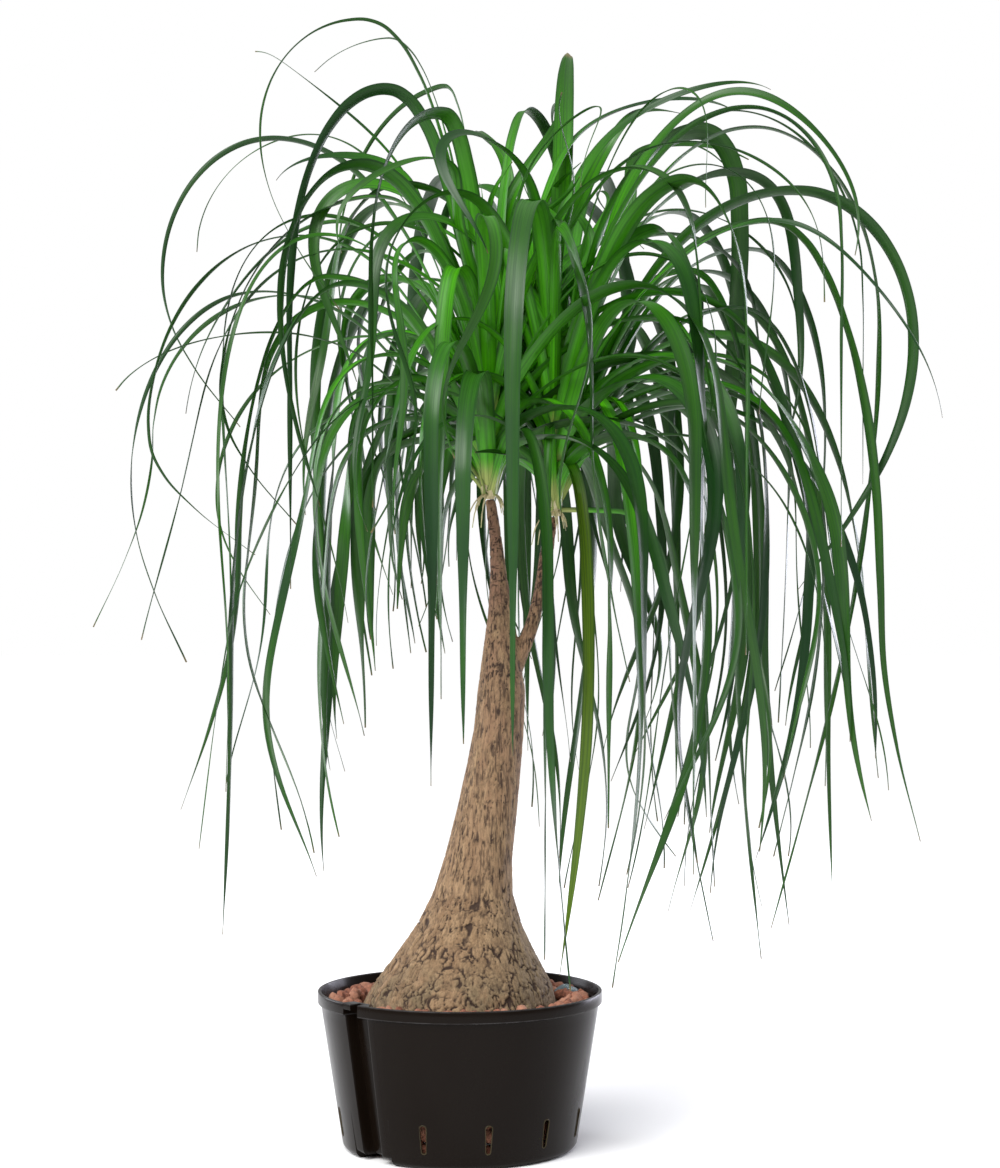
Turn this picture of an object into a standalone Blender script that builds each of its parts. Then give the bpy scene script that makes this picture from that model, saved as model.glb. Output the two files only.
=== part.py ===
"""Potted ponytail palm: a culture pot of clay granules, a swollen trunk with one fork, and two
crowns of strap leaves.  Metres, +Z up, the origin at the centre of the pot's underside."""

import math
from typing import NamedTuple

import bmesh
import bpy
import numpy as np
from mathutils import Vector
from mathutils.bvhtree import BVHTree

MM = 0.001
GAP = 0.3                      # clearance between pieces that touch, mm

# ---- pot, mm ---------------------------------------------------------------------------------
POT_HEIGHT = 121.0
RIM_RADIUS = 110.0
WALL_TOP_RADIUS = 107.6        # outside of the wall just under the collar
BASE_RADIUS = 90.0
WALL = 1.8
FLOOR = 2.5
COLLAR_HEIGHT = 9.5
FOOT_ROUND = 6.0               # height and width of the rounded foot edge
GAUGE_AZIMUTH = 224.0          # direction of the gauge groove, degrees from +X
GROOVE_DEPTH = 9.0
LUG_HEIGHT = 5.0               # the rim's lug over the left half of the groove
DEGREES_PER_MM = 0.573         # along the wall at a radius of 100 mm
NOTCH_HALF_ANGLE = 12.5        # raised stretch of the foot edge under the groove
NOTCH_RISE = 4.5
NOTCH_RADIUS = 68.0
POT_COLUMNS = 72
SLOT_WIDTH = 5.5
SLOT_LOW, SLOT_HIGH = 12.0, 34.0
SLOT_PITCH = 30                # degrees

# ---- granulate bed, mm -----------------------------------------------------------------------
BED_TOP = 110.0
BED_LUMP = 1.6

# ---- trunk, mm: height, axis X, radius -------------------------------------------------------
TRUNK_SECTIONS = (
    (62.0, 0.0, 30.0), (68.0, 0.0, 54.0), (80.0, 0.0, 70.0), (95.0, 0.0, 76.0), (108.0, 0.0, 75.0),
    (116.0, 0.5, 72.5), (125.0, 2.0, 69.0), (144.0, 4.0, 56.5), (170.0, 7.5, 41.0), (195.0, 10.5, 31.0),
    (221.0, 14.5, 26.5), (260.0, 21.5, 23.2), (298.0, 27.0, 20.8), (323.0, 30.0, 19.4), (352.0, 31.8, 18.4),
    (383.0, 31.4, 14.0), (412.0, 31.5, 10.0), (442.0, 29.8, 6.6), (472.0, 27.4, 4.9), (500.2, 23.6, 4.2),
)
TRUNK_FOOT = 60.0
TRUNK_SIDES = 24
# the fork's second arm: height, axis X, axis Y, radius
FORK_SECTIONS = (
    (352.0, 34.0, 1.0, 9.0), (374.0, 44.0, 2.5, 7.4), (395.0, 53.0, 4.0, 6.2), (413.0, 58.5, 5.0, 5.4),
    (432.0, 63.0, 6.0, 5.4), (457.0, 67.0, 7.0, 5.6), (476.0, 70.0, 7.6, 4.8), (487.2, 73.0, 8.0, 3.8),
)
FORK_SIDES = 12

# ---- crowns, mm ------------------------------------------------------------------------------
HEADS = {"left": (23.0, 0.0, 511.0), "right": (73.5, 8.0, 498.0)}
# a heart's sections, measured from its head's point: height, radius
HEART_SECTIONS = ((-10.5, 3.8), (-4.0, 5.4), (8.0, 7.0), (30.0, 7.0), (62.0, 5.0), (92.0, 2.4))
HEART_SIDES = 12
BASE_LOW, BASE_HIGH = -7.0, 74.0   # where the lowest and the highest leaf leave the heart

# ---- leaves ----------------------------------------------------------------------------------
LEAF_BASE_WIDTH = 3.6          # mm, where a leaf leaves the heart
LEAF_SPREAD = 110.0            # mm of length over which it reaches its full width
LEAF_BASE_THICKNESS = 0.8
LEAF_TIP_THICKNESS = 0.5
LEAF_TIP_WIDTH = 1.2
LEAF_STATIONS = 17
LEAF_CLEARANCE = 0.25          # mm kept between two leaves on each side
TURN_STEP = 1.5                # degrees between the turns tried for a leaf that meets another
TURNS_EACH_WAY = 28
BASE_SHIFTS = (0.0, 2.0, -2.0, 4.0, -4.0, 6.0, -6.0, 9.0, -9.0, 12.0, 15.0, 18.0)   # mm along the heart
DEGREES_PER_SHIFT = 1.0        # a shift of 1 mm counts as much as this turn


class Leaf(NamedTuple):
    """One leaf as an arc out of its crown: lengths in mm, angles in degrees."""

    head: str
    azimuth: float         # plan direction, 0 is +X, 90 is +Y
    reach: float           # from the heart out to the top of the arc
    rise: float            # top of the arc above the head's point
    out: float             # from the top of the arc out to its widest place
    fall: float            # from the top of the arc down to its widest place
    stray: float = 0.0     # tip further out (+) or tucked in (-) from the widest place
    hang: float = 0.0      # tip below the widest place
    width: float = 15.0
    trim: float = 1.0      # part of the whole arc that the leaf has grown


LEAVES = (
    # left crown, outline of the canopy
    Leaf("left", 160, 86, 353, 85, 70, width=9, trim=0.875),
    Leaf("left", 205, 84, 300, 80, 160, 0, 220, width=18),
    Leaf("left", 195, 100, 353, 84, 91, -62, 130, width=12),
    Leaf("left", 200, 85, 219, 125, 150, -57, 100, width=14),
    Leaf("left", 140, 47, 315, 115, 130, -16, 80, width=11),
    Leaf("left", 230, 53, 280, 80, 110, 0, 190, width=17),
    Leaf("left", 172, 174, 273, 87, 106, -63, 120, width=14),
    Leaf("left", 150, 175, 287, 106, 88, width=9),
    Leaf("left", 215, 115, 237, 71, 106, -33, 150, width=17),
    Leaf("left", 187, 148, 191, 114, 150, -81, 95, width=10),
    Leaf("left", 180, 178, 150, 100, 145, -43, 142, width=10),
    Leaf("left", 165, 169, 152, 111, 106, 52, 157, width=10),
    Leaf("left", 192, 167, 115, 128, 70, width=8, trim=0.93),
    Leaf("left", 157, 105, 119, 136, 125, -49, 95, width=8),
    Leaf("left", 210, 138, 153, 74, 209, 46, 184, width=12),
    Leaf("left", 222, 138, 145, 108, 270, 8, 200, width=14),
    # front
    Leaf("right", -99, 110, 217, 100, 120, 5, 280, width=17),
    Leaf("left", -50, 48, 212, 62, 150, 41, 210, width=17),
    Leaf("left", -95, 90, 78, 110, 86, 0, 180, width=16),
    Leaf("left", -38, 48, 62, 65, 121, 0, 200, width=15),
    Leaf("left", 256, 110, 100, 60, 70, 0, 250, width=13),
    Leaf("left", 243, 60, 161, 28, 103, 0, 220, width=15),
    Leaf("right", -62, 18, 28, 34, 150, -44, 245, width=10),
    # right crown
    Leaf("right", -48, 39, 78, 54, 227, -29, 221, width=14),
    Leaf("right", -20, 68, 152, 75, 197, 22, 302, width=13),
    Leaf("right", -30, 47, 78, 28, 94, 0, 90, width=13),
    Leaf("right", 25, 133, 298, 33, 60, -87, 495, width=17),
    Leaf("right", 15, 151, 312, 107, 135, 0, 160, width=8),
    Leaf("right", -2, 159, 294, 97, 150, -85, 477, width=12),
    Leaf("right", -28, 157, 294, 79, 100, 0, 230, width=10),
    Leaf("right", -14, 185, 240, 91, 118, -88, 190, width=14),
    Leaf("right", -40, 108, 201, 42, 130, 15, 356, width=18),
    Leaf("right", -65, 130, 143, 90, 110, 0, 300, width=16),
    Leaf("right", 38, 165, 191, 88, 120, -12, 250, width=12),
    Leaf("right", -32, 165, 228, 76, 111, 0, 230, width=15),
    Leaf("right", 10, 12, 349, 0, 0, width=12),
    Leaf("right", -35, 144, 148, 64, 180, -38, 240, width=15),
    Leaf("right", 20, 153, 157, 83, 263, 5, 203, width=12),
    Leaf("right", 35, 193, 209, 70, 150, -51, 210, width=12),
    Leaf("right", -5, 46, -8, 42, 68, 35, 264, width=10),
    Leaf("left", -62, 50, 40, 42, 128, 35, 286, width=12),
    Leaf("right", -78, 45, 55, 35, 200, 8, 198, width=8),
    Leaf("right", 30, 162, 180, 72, 225, -82, 285, width=12),
    Leaf("right", -10, 107, 180, 58, 256, 21, 256, width=12),
    Leaf("right", -24, 166, 215, 85, 290, 30, 185, width=14),
    # back
    Leaf("left", 146, 120, 230, 90, 150, -20, 200, width=14),
    Leaf("left", 125, 130, 170, 120, 170, -10, 190, width=14),
    Leaf("left", 105, 150, 260, 120, 130, 0, 210, width=15),
    Leaf("left", 82, 110, 120, 110, 180, 10, 160, width=13),
    Leaf("right", 98, 130, 200, 120, 160, -20, 230, width=15),
    Leaf("right", 75, 160, 280, 110, 140, -30, 210, width=14),
    Leaf("right", 58, 110, 150, 90, 190, 0, 210, width=14),
    Leaf("right", 45, 150, 240, 85, 160, -20, 230, width=13),
    Leaf("left", 60, 60, 300, 70, 120, 0, 150, width=12),
    Leaf("left", 120, 16, 236, 0, 0, width=12),
)


def clear_scene():
    """Take every object out of the file that the script runs in."""
    for found in list(bpy.data.objects):
        bpy.data.objects.remove(found, do_unlink=True)


def material(name, colour, roughness):
    """A plain Principled finish."""
    made = bpy.data.materials.new(name)
    made.use_nodes = True
    shader = made.node_tree.nodes["Principled BSDF"]
    shader.inputs["Base Color"].default_value = (*colour, 1.0)
    shader.inputs["Roughness"].default_value = roughness
    return made


def closed_object(name, points, faces, finish, smooth_angle=35.0):
    """One closed mesh object from points in mm, its faces turned outwards."""
    shape = bmesh.new()
    corners = [shape.verts.new(Vector(point) * MM) for point in points]
    for face in faces:
        shape.faces.new([corners[index] for index in face])
    bmesh.ops.recalc_face_normals(shape, faces=shape.faces)
    mesh = bpy.data.meshes.new(name)
    shape.to_mesh(mesh)
    shape.free()
    mesh.materials.append(finish)
    mesh.shade_smooth()
    mesh.set_sharp_from_angle(angle=math.radians(smooth_angle))
    made = bpy.data.objects.new(name, mesh)
    bpy.context.collection.objects.link(made)
    return made


def loft_faces(rings, sides):
    """Quads between rings of equal size that follow each other in one list of points."""
    faces = []
    for ring in range(rings - 1):
        low, high = ring * sides, (ring + 1) * sides
        for side in range(sides):
            after = (side + 1) % sides
            faces.append((low + side, low + after, high + after, high + side))
    return faces


def revolve_columns(columns):
    """Points and faces of a body whose outline, one for each column, starts and ends on the axis."""
    count = len(columns)
    start, end = columns[0][0], columns[0][-1]
    points = [start]
    for column in columns:
        points.extend(column[1:-1])
    points.append(end)
    inner = len(columns[0]) - 2
    faces = []
    for index in range(count):
        here, after = 1 + index * inner, 1 + ((index + 1) % count) * inner
        faces.append((0, after, here))
        for step in range(inner - 1):
            faces.append((here + step, after + step, after + step + 1, here + step + 1))
        faces.append((here + inner - 1, after + inner - 1, len(points) - 1))
    return points, faces


def smooth_step(value):
    """0 below 0, 1 above 1, and a smooth curve between."""
    value = min(max(value, 0.0), 1.0)
    return value * value * (3.0 - 2.0 * value)


# ---- pot -------------------------------------------------------------------------------------
class Column(NamedTuple):
    """One vertical strip of the pot's wall."""

    azimuth: float         # degrees
    depth: float           # how far the groove sets the wall back here, mm
    open_rim: bool         # the rim's gap, where the gauge is put in
    lug: bool              # the rim's lug runs over the groove here
    lifted: bool           # the foot edge is raised here
    aside: int = 0         # which way the wall's inner face lies from its outer face along the wall


def pot_columns(notch=NOTCH_HALF_ANGLE):
    """The strips of the pot's wall: even round the pot, and set by the groove near the gauge."""
    groove = (               # mm along the wall from the groove's middle, depth share, gap, lug, side
        (-11.0, 0.0, False, False, -1), (-9.5, 1.0, False, True, -1), (-2.4, 1.0, False, True, 0),
        (-2.0, 1.0, True, False, 0), (4.6, 1.0, True, False, 0), (5.0, 1.0, False, False, 0),
        (8.5, 0.55, False, False, 1), (12.0, 0.0, False, False, 1),
    )
    strips = [
        Column(GAUGE_AZIMUTH + along * DEGREES_PER_MM, share * GROOVE_DEPTH, gap, lug, True, aside)
        for along, share, gap, lug, aside in groove
    ]
    for side in (-1, 1):
        for angle, lifted in ((notch - 0.2, True), (notch + 0.2, False)):
            strips.append(Column(GAUGE_AZIMUTH + side * angle, 0.0, False, False, lifted))
    step = 360.0 / POT_COLUMNS
    for index in range(POT_COLUMNS):
        away = (index + 0.5) * step
        if min(away, 360.0 - away) > notch + 1.0:
            strips.append(Column(GAUGE_AZIMUTH + away, 0.0, False, False, False))
    return sorted(strips, key=lambda strip: strip.azimuth % 360.0)


def wall_radius(height):
    """Outside radius of the pot's tapered wall."""
    top = POT_HEIGHT - COLLAR_HEIGHT
    return BASE_RADIUS + (WALL_TOP_RADIUS - BASE_RADIUS) * height / top


def place(radius, azimuth, height):
    """A point from its radius, azimuth in degrees and height."""
    turn = math.radians(azimuth)
    return (radius * math.cos(turn), radius * math.sin(turn), height)


def pot_outline(strip):
    """The pot's section at one strip, from the middle of the underside to the middle of the floor."""
    lift = NOTCH_RISE if strip.lifted else 0.0
    back = strip.depth
    top = POT_HEIGHT
    ledge = top - (LUG_HEIGHT if strip.lug else COLLAR_HEIGHT)
    rim_back = back if strip.open_rim else 0.0
    foot = FOOT_ROUND
    outer = [(0.0, 0.0), (30.0, 0.0), (NOTCH_RADIUS, 0.0), (NOTCH_RADIUS + 0.6, lift)]
    outer += [(wall_radius(0) - foot - back * 0.7, lift), (wall_radius(2) - 1.8 - back, 1.7 + lift * 0.8)]
    outer += [(wall_radius(foot) - back, foot + lift * 0.5), (wall_radius(60) - back, 60.0)]
    outer += [(wall_radius(ledge) - back, ledge), (RIM_RADIUS - 0.6 - rim_back, ledge + 0.5)]
    outer += [(RIM_RADIUS - rim_back, top - 0.6), (RIM_RADIUS - 0.6 - rim_back, top)]
    inner = [(wall_radius(top) - back - WALL, top), (wall_radius(60) - back - WALL, 60.0)]
    inner += [(wall_radius(foot) - back - WALL, foot + lift + 1.0)]
    inner += [(wall_radius(0) - foot - back * 0.7 - 2.0, FLOOR + lift)]
    inner += [(NOTCH_RADIUS - 2.0, FLOOR + lift), (NOTCH_RADIUS - 2.6, FLOOR), (30.0, FLOOR), (0.0, FLOOR)]
    beside = strip.azimuth + strip.aside * WALL * DEGREES_PER_MM
    return [place(radius, strip.azimuth, height) for radius, height in outer] + [
        place(radius, beside, height) for radius, height in inner
    ]


def slot_cutters():
    """One wire body of the root slots' cutting blocks."""
    points, faces = [], []
    for turn in range(SLOT_PITCH, 360, SLOT_PITCH):
        azimuth = GAUGE_AZIMUTH + turn
        along = Vector(place(1.0, azimuth, 0.0))
        across = Vector((-along.y, along.x, 0.0)) * SLOT_WIDTH / 2
        first = len(points)
        for height in (SLOT_LOW, SLOT_HIGH):
            narrow = 0.75 if height == SLOT_LOW else 1.0
            inner, outer = along * 82.0, along * 104.0
            level = Vector((0.0, 0.0, height))
            points += [inner - across * narrow + level, outer - across * narrow + level]
            points += [outer + across * narrow + level, inner + across * narrow + level]
        block = ((3, 2, 1, 0), (4, 5, 6, 7), (0, 1, 5, 4), (1, 2, 6, 5), (2, 3, 7, 6), (3, 0, 4, 7))
        faces += [tuple(first + corner for corner in face) for face in block]
    cutter = closed_object("slot_cutters", points, faces, material("cutter", (1.0, 0.2, 0.2), 0.5))
    cutter.hide_render = True
    cutter.display_type = "WIRE"
    return cutter


def make_pot():
    """The culture pot with its gauge groove, rim lug, lifted foot edge and root slots."""
    points, faces = revolve_columns([pot_outline(strip) for strip in pot_columns()])
    pot = closed_object("pot", points, faces, material("pot_plastic", (0.02, 0.017, 0.015), 0.3))
    cut = pot.modifiers.new("root_slots", "BOOLEAN")
    cut.operation = "DIFFERENCE"
    cut.solver = "EXACT"
    cut.object = slot_cutters()
    return pot


# ---- granulate -------------------------------------------------------------------------------
def bulb_radius(height):
    """Radius of the trunk's buried bulb at a height."""
    heights = [TRUNK_FOOT] + [section[0] for section in TRUNK_SECTIONS]
    radii = [0.0] + [section[2] for section in TRUNK_SECTIONS]
    return float(np.interp(height, heights, radii))


def bed_outline(strip):
    """The bed's section at one strip, from the middle of its underside to under the bulb."""
    lift = NOTCH_RISE if strip.lifted else 0.0
    back = strip.depth
    turn = math.radians(strip.azimuth)
    lump = BED_LUMP * (math.sin(5.0 * turn + 0.6) + 0.6 * math.sin(11.0 * turn))
    low = FLOOR + GAP
    inside = WALL + GAP
    foot = FOOT_ROUND
    section = [(0.0, low), (30.0, low), (NOTCH_RADIUS - 3.2, low), (NOTCH_RADIUS - 2.4, low + lift)]
    section += [(wall_radius(0) - foot - back * 0.7 - 2.6, low + lift)]
    section += [(wall_radius(foot) - back - inside - 0.4, foot + lift + 1.6)]
    section += [(wall_radius(60) - back - inside, 60.0)]
    edge = BED_TOP - 2.0 + lump
    section += [(wall_radius(edge) - back - inside, edge)]
    section += [(92.0, BED_TOP + 1.5 - lump), (83.0, BED_TOP - 0.5 + lump)]
    rim = BED_TOP + 0.5
    section += [(bulb_radius(rim) + GAP + 0.3, rim)]
    for height in (95.0, 80.0, 68.0, 62.0):
        section.append((bulb_radius(height) + GAP + 0.6, height - 0.2))
    section.append((0.0, TRUNK_FOOT - GAP - 0.2))
    beside = strip.azimuth + strip.aside * inside * DEGREES_PER_MM
    return [place(radius, beside, height) for radius, height in section]


def make_granulate():
    """The fill of clay granules, round the bulb and under it."""
    strips = pot_columns(NOTCH_HALF_ANGLE + 0.7)
    points, faces = revolve_columns([bed_outline(strip) for strip in strips])
    return closed_object("granulate", points, faces, material("clay_granules", (0.25, 0.09, 0.05), 0.9))


# ---- trunk -----------------------------------------------------------------------------------
def ring(centre, radius, sides, lobes=0.0, phase=0.0):
    """A level ring of points, with three soft lobes where asked."""
    points = []
    for side in range(sides):
        turn = 2.0 * math.pi * side / sides
        size = radius * (1.0 + lobes * math.sin(3.0 * turn + phase))
        points.append((centre[0] + size * math.cos(turn), centre[1] + size * math.sin(turn), centre[2]))
    return points


def make_trunk():
    """The caudex and stem, with the fork's second arm joined on."""
    points = [(0.0, 0.0, TRUNK_FOOT)]
    for height, axis, radius in TRUNK_SECTIONS:
        lobes = 0.03 * smooth_step((height - 116.0) / 40.0)
        points += ring((axis, 0.0, height), radius, TRUNK_SIDES, lobes, height * 0.02)
    rings = len(TRUNK_SECTIONS)
    faces = [tuple(1 + index for index in face) for face in loft_faces(rings, TRUNK_SIDES)]
    faces += [(0, 1 + (side + 1) % TRUNK_SIDES, 1 + side) for side in range(TRUNK_SIDES)]
    faces.append(tuple(1 + (rings - 1) * TRUNK_SIDES + side for side in range(TRUNK_SIDES)))
    bark = material("bark", (0.36, 0.25, 0.17), 0.85)
    trunk = closed_object("trunk", points, faces, bark)

    arm_points = []
    for height, axis, depth, radius in FORK_SECTIONS:
        arm_points += ring((axis, depth, height), radius, FORK_SIDES)
    arm_rings = len(FORK_SECTIONS)
    arm_faces = loft_faces(arm_rings, FORK_SIDES)
    arm_faces.append(tuple(reversed(range(FORK_SIDES))))
    arm_faces.append(tuple((arm_rings - 1) * FORK_SIDES + side for side in range(FORK_SIDES)))
    arm = closed_object("fork_arm", arm_points, arm_faces, bark)
    arm.hide_render = True
    arm.display_type = "WIRE"
    join = trunk.modifiers.new("fork", "BOOLEAN")
    join.operation = "UNION"
    join.solver = "EXACT"
    join.object = arm
    return trunk


# ---- crowns ----------------------------------------------------------------------------------
def heart_radius(height):
    """Radius of a heart at a height over its head's point."""
    heights, radii = zip(*HEART_SECTIONS)
    return float(np.interp(height, heights, radii))


def make_heart(side):
    """The pale cone of wrapped leaf bases at the end of one arm."""
    head = HEADS[side]
    points = []
    for height, radius in HEART_SECTIONS:
        points += ring((head[0], head[1], head[2] + height), radius, HEART_SIDES)
    rings = len(HEART_SECTIONS)
    faces = loft_faces(rings, HEART_SIDES)
    faces.append(tuple(reversed(range(HEART_SIDES))))
    faces.append(tuple((rings - 1) * HEART_SIDES + corner for corner in range(HEART_SIDES)))
    return closed_object(f"{side}_crown_heart", points, faces, material(f"{side}_heart", (0.55, 0.6, 0.2), 0.5))


def bezier(start, first, second, end, count=32):
    """Points of one cubic Bezier."""
    share = np.linspace(0.0, 1.0, count)[:, None]
    start, first, second, end = (np.asarray(point, float) for point in (start, first, second, end))
    rest = 1.0 - share
    return rest**3 * start + 3 * rest**2 * share * first + 3 * rest * share**2 * second + share**3 * end


def arc_in_plane(leaf, base):
    """The leaf's whole arc in its upright plane: outward and up from the head's point, mm."""
    start = (heart_radius(base) + GAP + 0.2, base)
    top = (leaf.reach, leaf.rise)
    lift = leaf.rise - base
    lean = 0.12 + 0.2 * smooth_step(1.8 - leaf.rise / leaf.reach)
    curve = [bezier(start, (start[0] + lean * leaf.reach, base + 0.5 * lift), (0.5 * leaf.reach, leaf.rise), top)]
    if leaf.fall:
        wide = (leaf.reach + leaf.out, leaf.rise - leaf.fall)
        curve.append(bezier(top, (leaf.reach + 0.55 * leaf.out, leaf.rise),
                            (wide[0], wide[1] + 0.55 * leaf.fall), wide)[1:])
        if leaf.hang:
            tip = (wide[0] + leaf.stray, wide[1] - leaf.hang)
            curve.append(bezier(wide, (wide[0], wide[1] - 0.4 * leaf.hang),
                                (wide[0] + 0.5 * leaf.stray, wide[1] - 0.68 * leaf.hang), tip)[1:])
    return np.concatenate(curve)


def stations(curve, trim, count):
    """Points along a curve, closer together where it bends, with their distance from the base."""
    steps = np.diff(curve, axis=0)
    lengths = np.linalg.norm(steps, axis=1)
    along = np.concatenate(([0.0], np.cumsum(lengths)))
    headings = np.unwrap(np.arctan2(steps[:, 1], steps[:, 0]))
    bends = np.concatenate(([0.0], np.abs(np.diff(headings))))
    weight = np.concatenate(([0.0], np.cumsum(lengths / 70.0 + bends / math.radians(22.0))))
    end = np.interp(along[-1] * trim, along, weight)
    picked = np.interp(np.linspace(0.0, end, count), weight, along)
    places = np.stack([np.interp(picked, along, curve[:, axis]) for axis in (0, 1)], axis=1)
    return places, picked


def leaf_width(leaf, distance, length):
    """Width of a leaf at a distance from its base."""
    spread = smooth_step(distance / LEAF_SPREAD)
    full = LEAF_BASE_WIDTH + (leaf.width - LEAF_BASE_WIDTH) * spread
    narrowing = max(1.0 - (distance / length) ** 2.2, 0.0) ** 0.8
    return max(full * narrowing, LEAF_TIP_WIDTH)


def leaf_mesh(leaf, base, azimuth, grow=0.0):
    """Points and faces of a leaf's strap, thicker and wider by twice grow."""
    places, distances = stations(arc_in_plane(leaf, base), leaf.trim, LEAF_STATIONS)
    head = np.array(HEADS[leaf.head])
    turn = math.radians(azimuth)
    outward = np.array((math.cos(turn), math.sin(turn), 0.0))
    level = np.array((-math.sin(turn), math.cos(turn), 0.0))
    spine = head + np.outer(places[:, 0], outward) + np.outer(places[:, 1], (0.0, 0.0, 1.0))
    along = np.gradient(spine, axis=0)
    along /= np.linalg.norm(along, axis=1)[:, None]
    length = distances[-1]
    points = []
    for point, forward, distance in zip(spine, along, distances):
        normal = np.cross(forward, level)
        share = distance / length
        thickness = LEAF_BASE_THICKNESS + (LEAF_TIP_THICKNESS - LEAF_BASE_THICKNESS) * share
        half = level * (leaf_width(leaf, distance, length) / 2 + grow)
        skin = normal * (thickness / 2 + grow)
        points += [point + half - skin, point + half + skin, point - half + skin, point - half - skin]
    faces = loft_faces(LEAF_STATIONS, 4)
    faces.append((3, 2, 1, 0))
    last = 4 * (LEAF_STATIONS - 1)
    faces.append((last, last + 1, last + 2, last + 3))
    return points, faces


def tree_of(points, faces):
    """A search tree of a closed shape, for overlap tests."""
    return BVHTree.FromPolygons([Vector(point) for point in points], faces)


def tree_of_object(made):
    """A search tree of a finished object, in mm."""
    shown = made.evaluated_get(bpy.context.evaluated_depsgraph_get())
    mesh = shown.to_mesh()
    points = [vertex.co / MM for vertex in mesh.vertices]
    faces = [tuple(polygon.vertices) for polygon in mesh.polygons]
    tree = tree_of(points, faces)
    shown.to_mesh_clear()
    return tree


def base_heights():
    """Where each leaf leaves its heart: the flattest leaves lowest, as the oldest are on the plant."""
    heights = {}
    for side in HEADS:
        members = [index for index, leaf in enumerate(LEAVES) if leaf.head == side]
        members.sort(key=lambda index: LEAVES[index].rise / (LEAVES[index].reach + 20.0))
        for rank, index in enumerate(members):
            heights[index] = BASE_LOW + (BASE_HIGH - BASE_LOW) * rank / (len(members) - 1)
    return heights


def places_to_try():
    """Small turns about the head and shifts along the heart, nearest first, that clear a leaf."""
    turns = [TURN_STEP * count for count in range(-TURNS_EACH_WAY, TURNS_EACH_WAY + 1)]
    places = [(shift, turn) for shift in BASE_SHIFTS for turn in turns]
    return sorted(places, key=lambda place: abs(place[1]) + DEGREES_PER_SHIFT * abs(place[0]))


def make_leaves(standing):
    """Every leaf as its own strap, turned a little about its head where it would meet another."""
    finish = material("leaf_green", (0.07, 0.2, 0.05), 0.45)
    heights = base_heights()
    settled = list(standing)
    numbers = {side: 0 for side in HEADS}
    tries = places_to_try()
    for index, leaf in enumerate(LEAVES):
        for shift, turn in tries:
            base, azimuth = heights[index] + shift, leaf.azimuth + turn
            trial = tree_of(*leaf_mesh(leaf, base, azimuth, LEAF_CLEARANCE))
            if not any(trial.overlap(other) for other in settled):
                break
        points, faces = leaf_mesh(leaf, base, azimuth)
        settled.append(tree_of(points, faces))
        numbers[leaf.head] += 1
        closed_object(f"{leaf.head}_leaf_{numbers[leaf.head]:02d}", points, faces, finish)


def main():
    """Build the whole plant in its pot."""
    clear_scene()
    pot = make_pot()
    bed = make_granulate()
    trunk = make_trunk()
    for side in HEADS:
        make_heart(side)
    bpy.context.view_layer.update()
    make_leaves([tree_of_object(made) for made in (pot, bed, trunk)])


main()
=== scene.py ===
"""Looks of a potted ponytail palm: glossy culture pot, clay granules, corky trunk and long leaves.

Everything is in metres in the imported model's own frame, +Z up, the pot's underside at z = 0.
"""

import logging
import math
from dataclasses import dataclass, field
from enum import Enum
from typing import Iterable, Optional, Sequence, Union

import bmesh
import bpy
import numpy as np
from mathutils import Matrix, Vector
from mathutils.kdtree import KDTree


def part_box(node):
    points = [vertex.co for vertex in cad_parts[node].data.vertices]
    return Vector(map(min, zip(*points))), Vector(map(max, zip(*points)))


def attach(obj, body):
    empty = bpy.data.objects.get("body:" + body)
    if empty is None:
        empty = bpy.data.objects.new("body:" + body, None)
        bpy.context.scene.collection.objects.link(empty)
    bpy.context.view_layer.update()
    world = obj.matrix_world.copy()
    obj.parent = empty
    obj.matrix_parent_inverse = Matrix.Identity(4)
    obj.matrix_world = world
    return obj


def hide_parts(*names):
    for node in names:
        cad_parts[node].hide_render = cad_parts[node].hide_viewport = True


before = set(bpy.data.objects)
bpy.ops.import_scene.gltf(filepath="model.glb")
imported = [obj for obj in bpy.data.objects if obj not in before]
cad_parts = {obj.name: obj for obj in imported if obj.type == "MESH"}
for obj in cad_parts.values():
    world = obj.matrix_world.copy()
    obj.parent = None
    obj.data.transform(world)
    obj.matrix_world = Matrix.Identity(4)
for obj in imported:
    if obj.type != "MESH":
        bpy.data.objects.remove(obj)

LOG = logging.getLogger("ponytail_palm")
MM = 0.001
BODY = "root"

Colour = tuple[float, float, float]
Socket = bpy.types.NodeSocket
Feed = Union[Socket, float, int, bool, str, tuple]
Feeds = dict[Union[str, int], Feed]


class Slot(Enum):
    """The record's material slots."""

    POT = "pot_plastic"
    GRANULES = "clay_granules"
    BARK = "bark"
    LEAF_BASE = "leaf_base"
    LEAF = "leaf_green"


class Head(Enum):
    """The two growing points of the plant."""

    LEFT = "left"
    RIGHT = "right"


# ---- small helpers ---------------------------------------------------------------------------
def smooth_step(value: np.ndarray | float) -> np.ndarray | float:
    """0 below 0, 1 above 1, and a smooth curve between."""
    share = np.clip(value, 0.0, 1.0)
    return share * share * (3.0 - 2.0 * share)


def unit(vectors: np.ndarray) -> np.ndarray:
    """The same directions with length 1, row by row."""
    return vectors / np.maximum(np.linalg.norm(vectors, axis=-1, keepdims=True), 1e-9)


def box_limits() -> tuple[np.ndarray, np.ndarray]:
    """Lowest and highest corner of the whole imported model."""
    corners = [np.array(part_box(node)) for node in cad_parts]
    return np.min([pair[0] for pair in corners], axis=0), np.max([pair[1] for pair in corners], axis=0)


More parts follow.
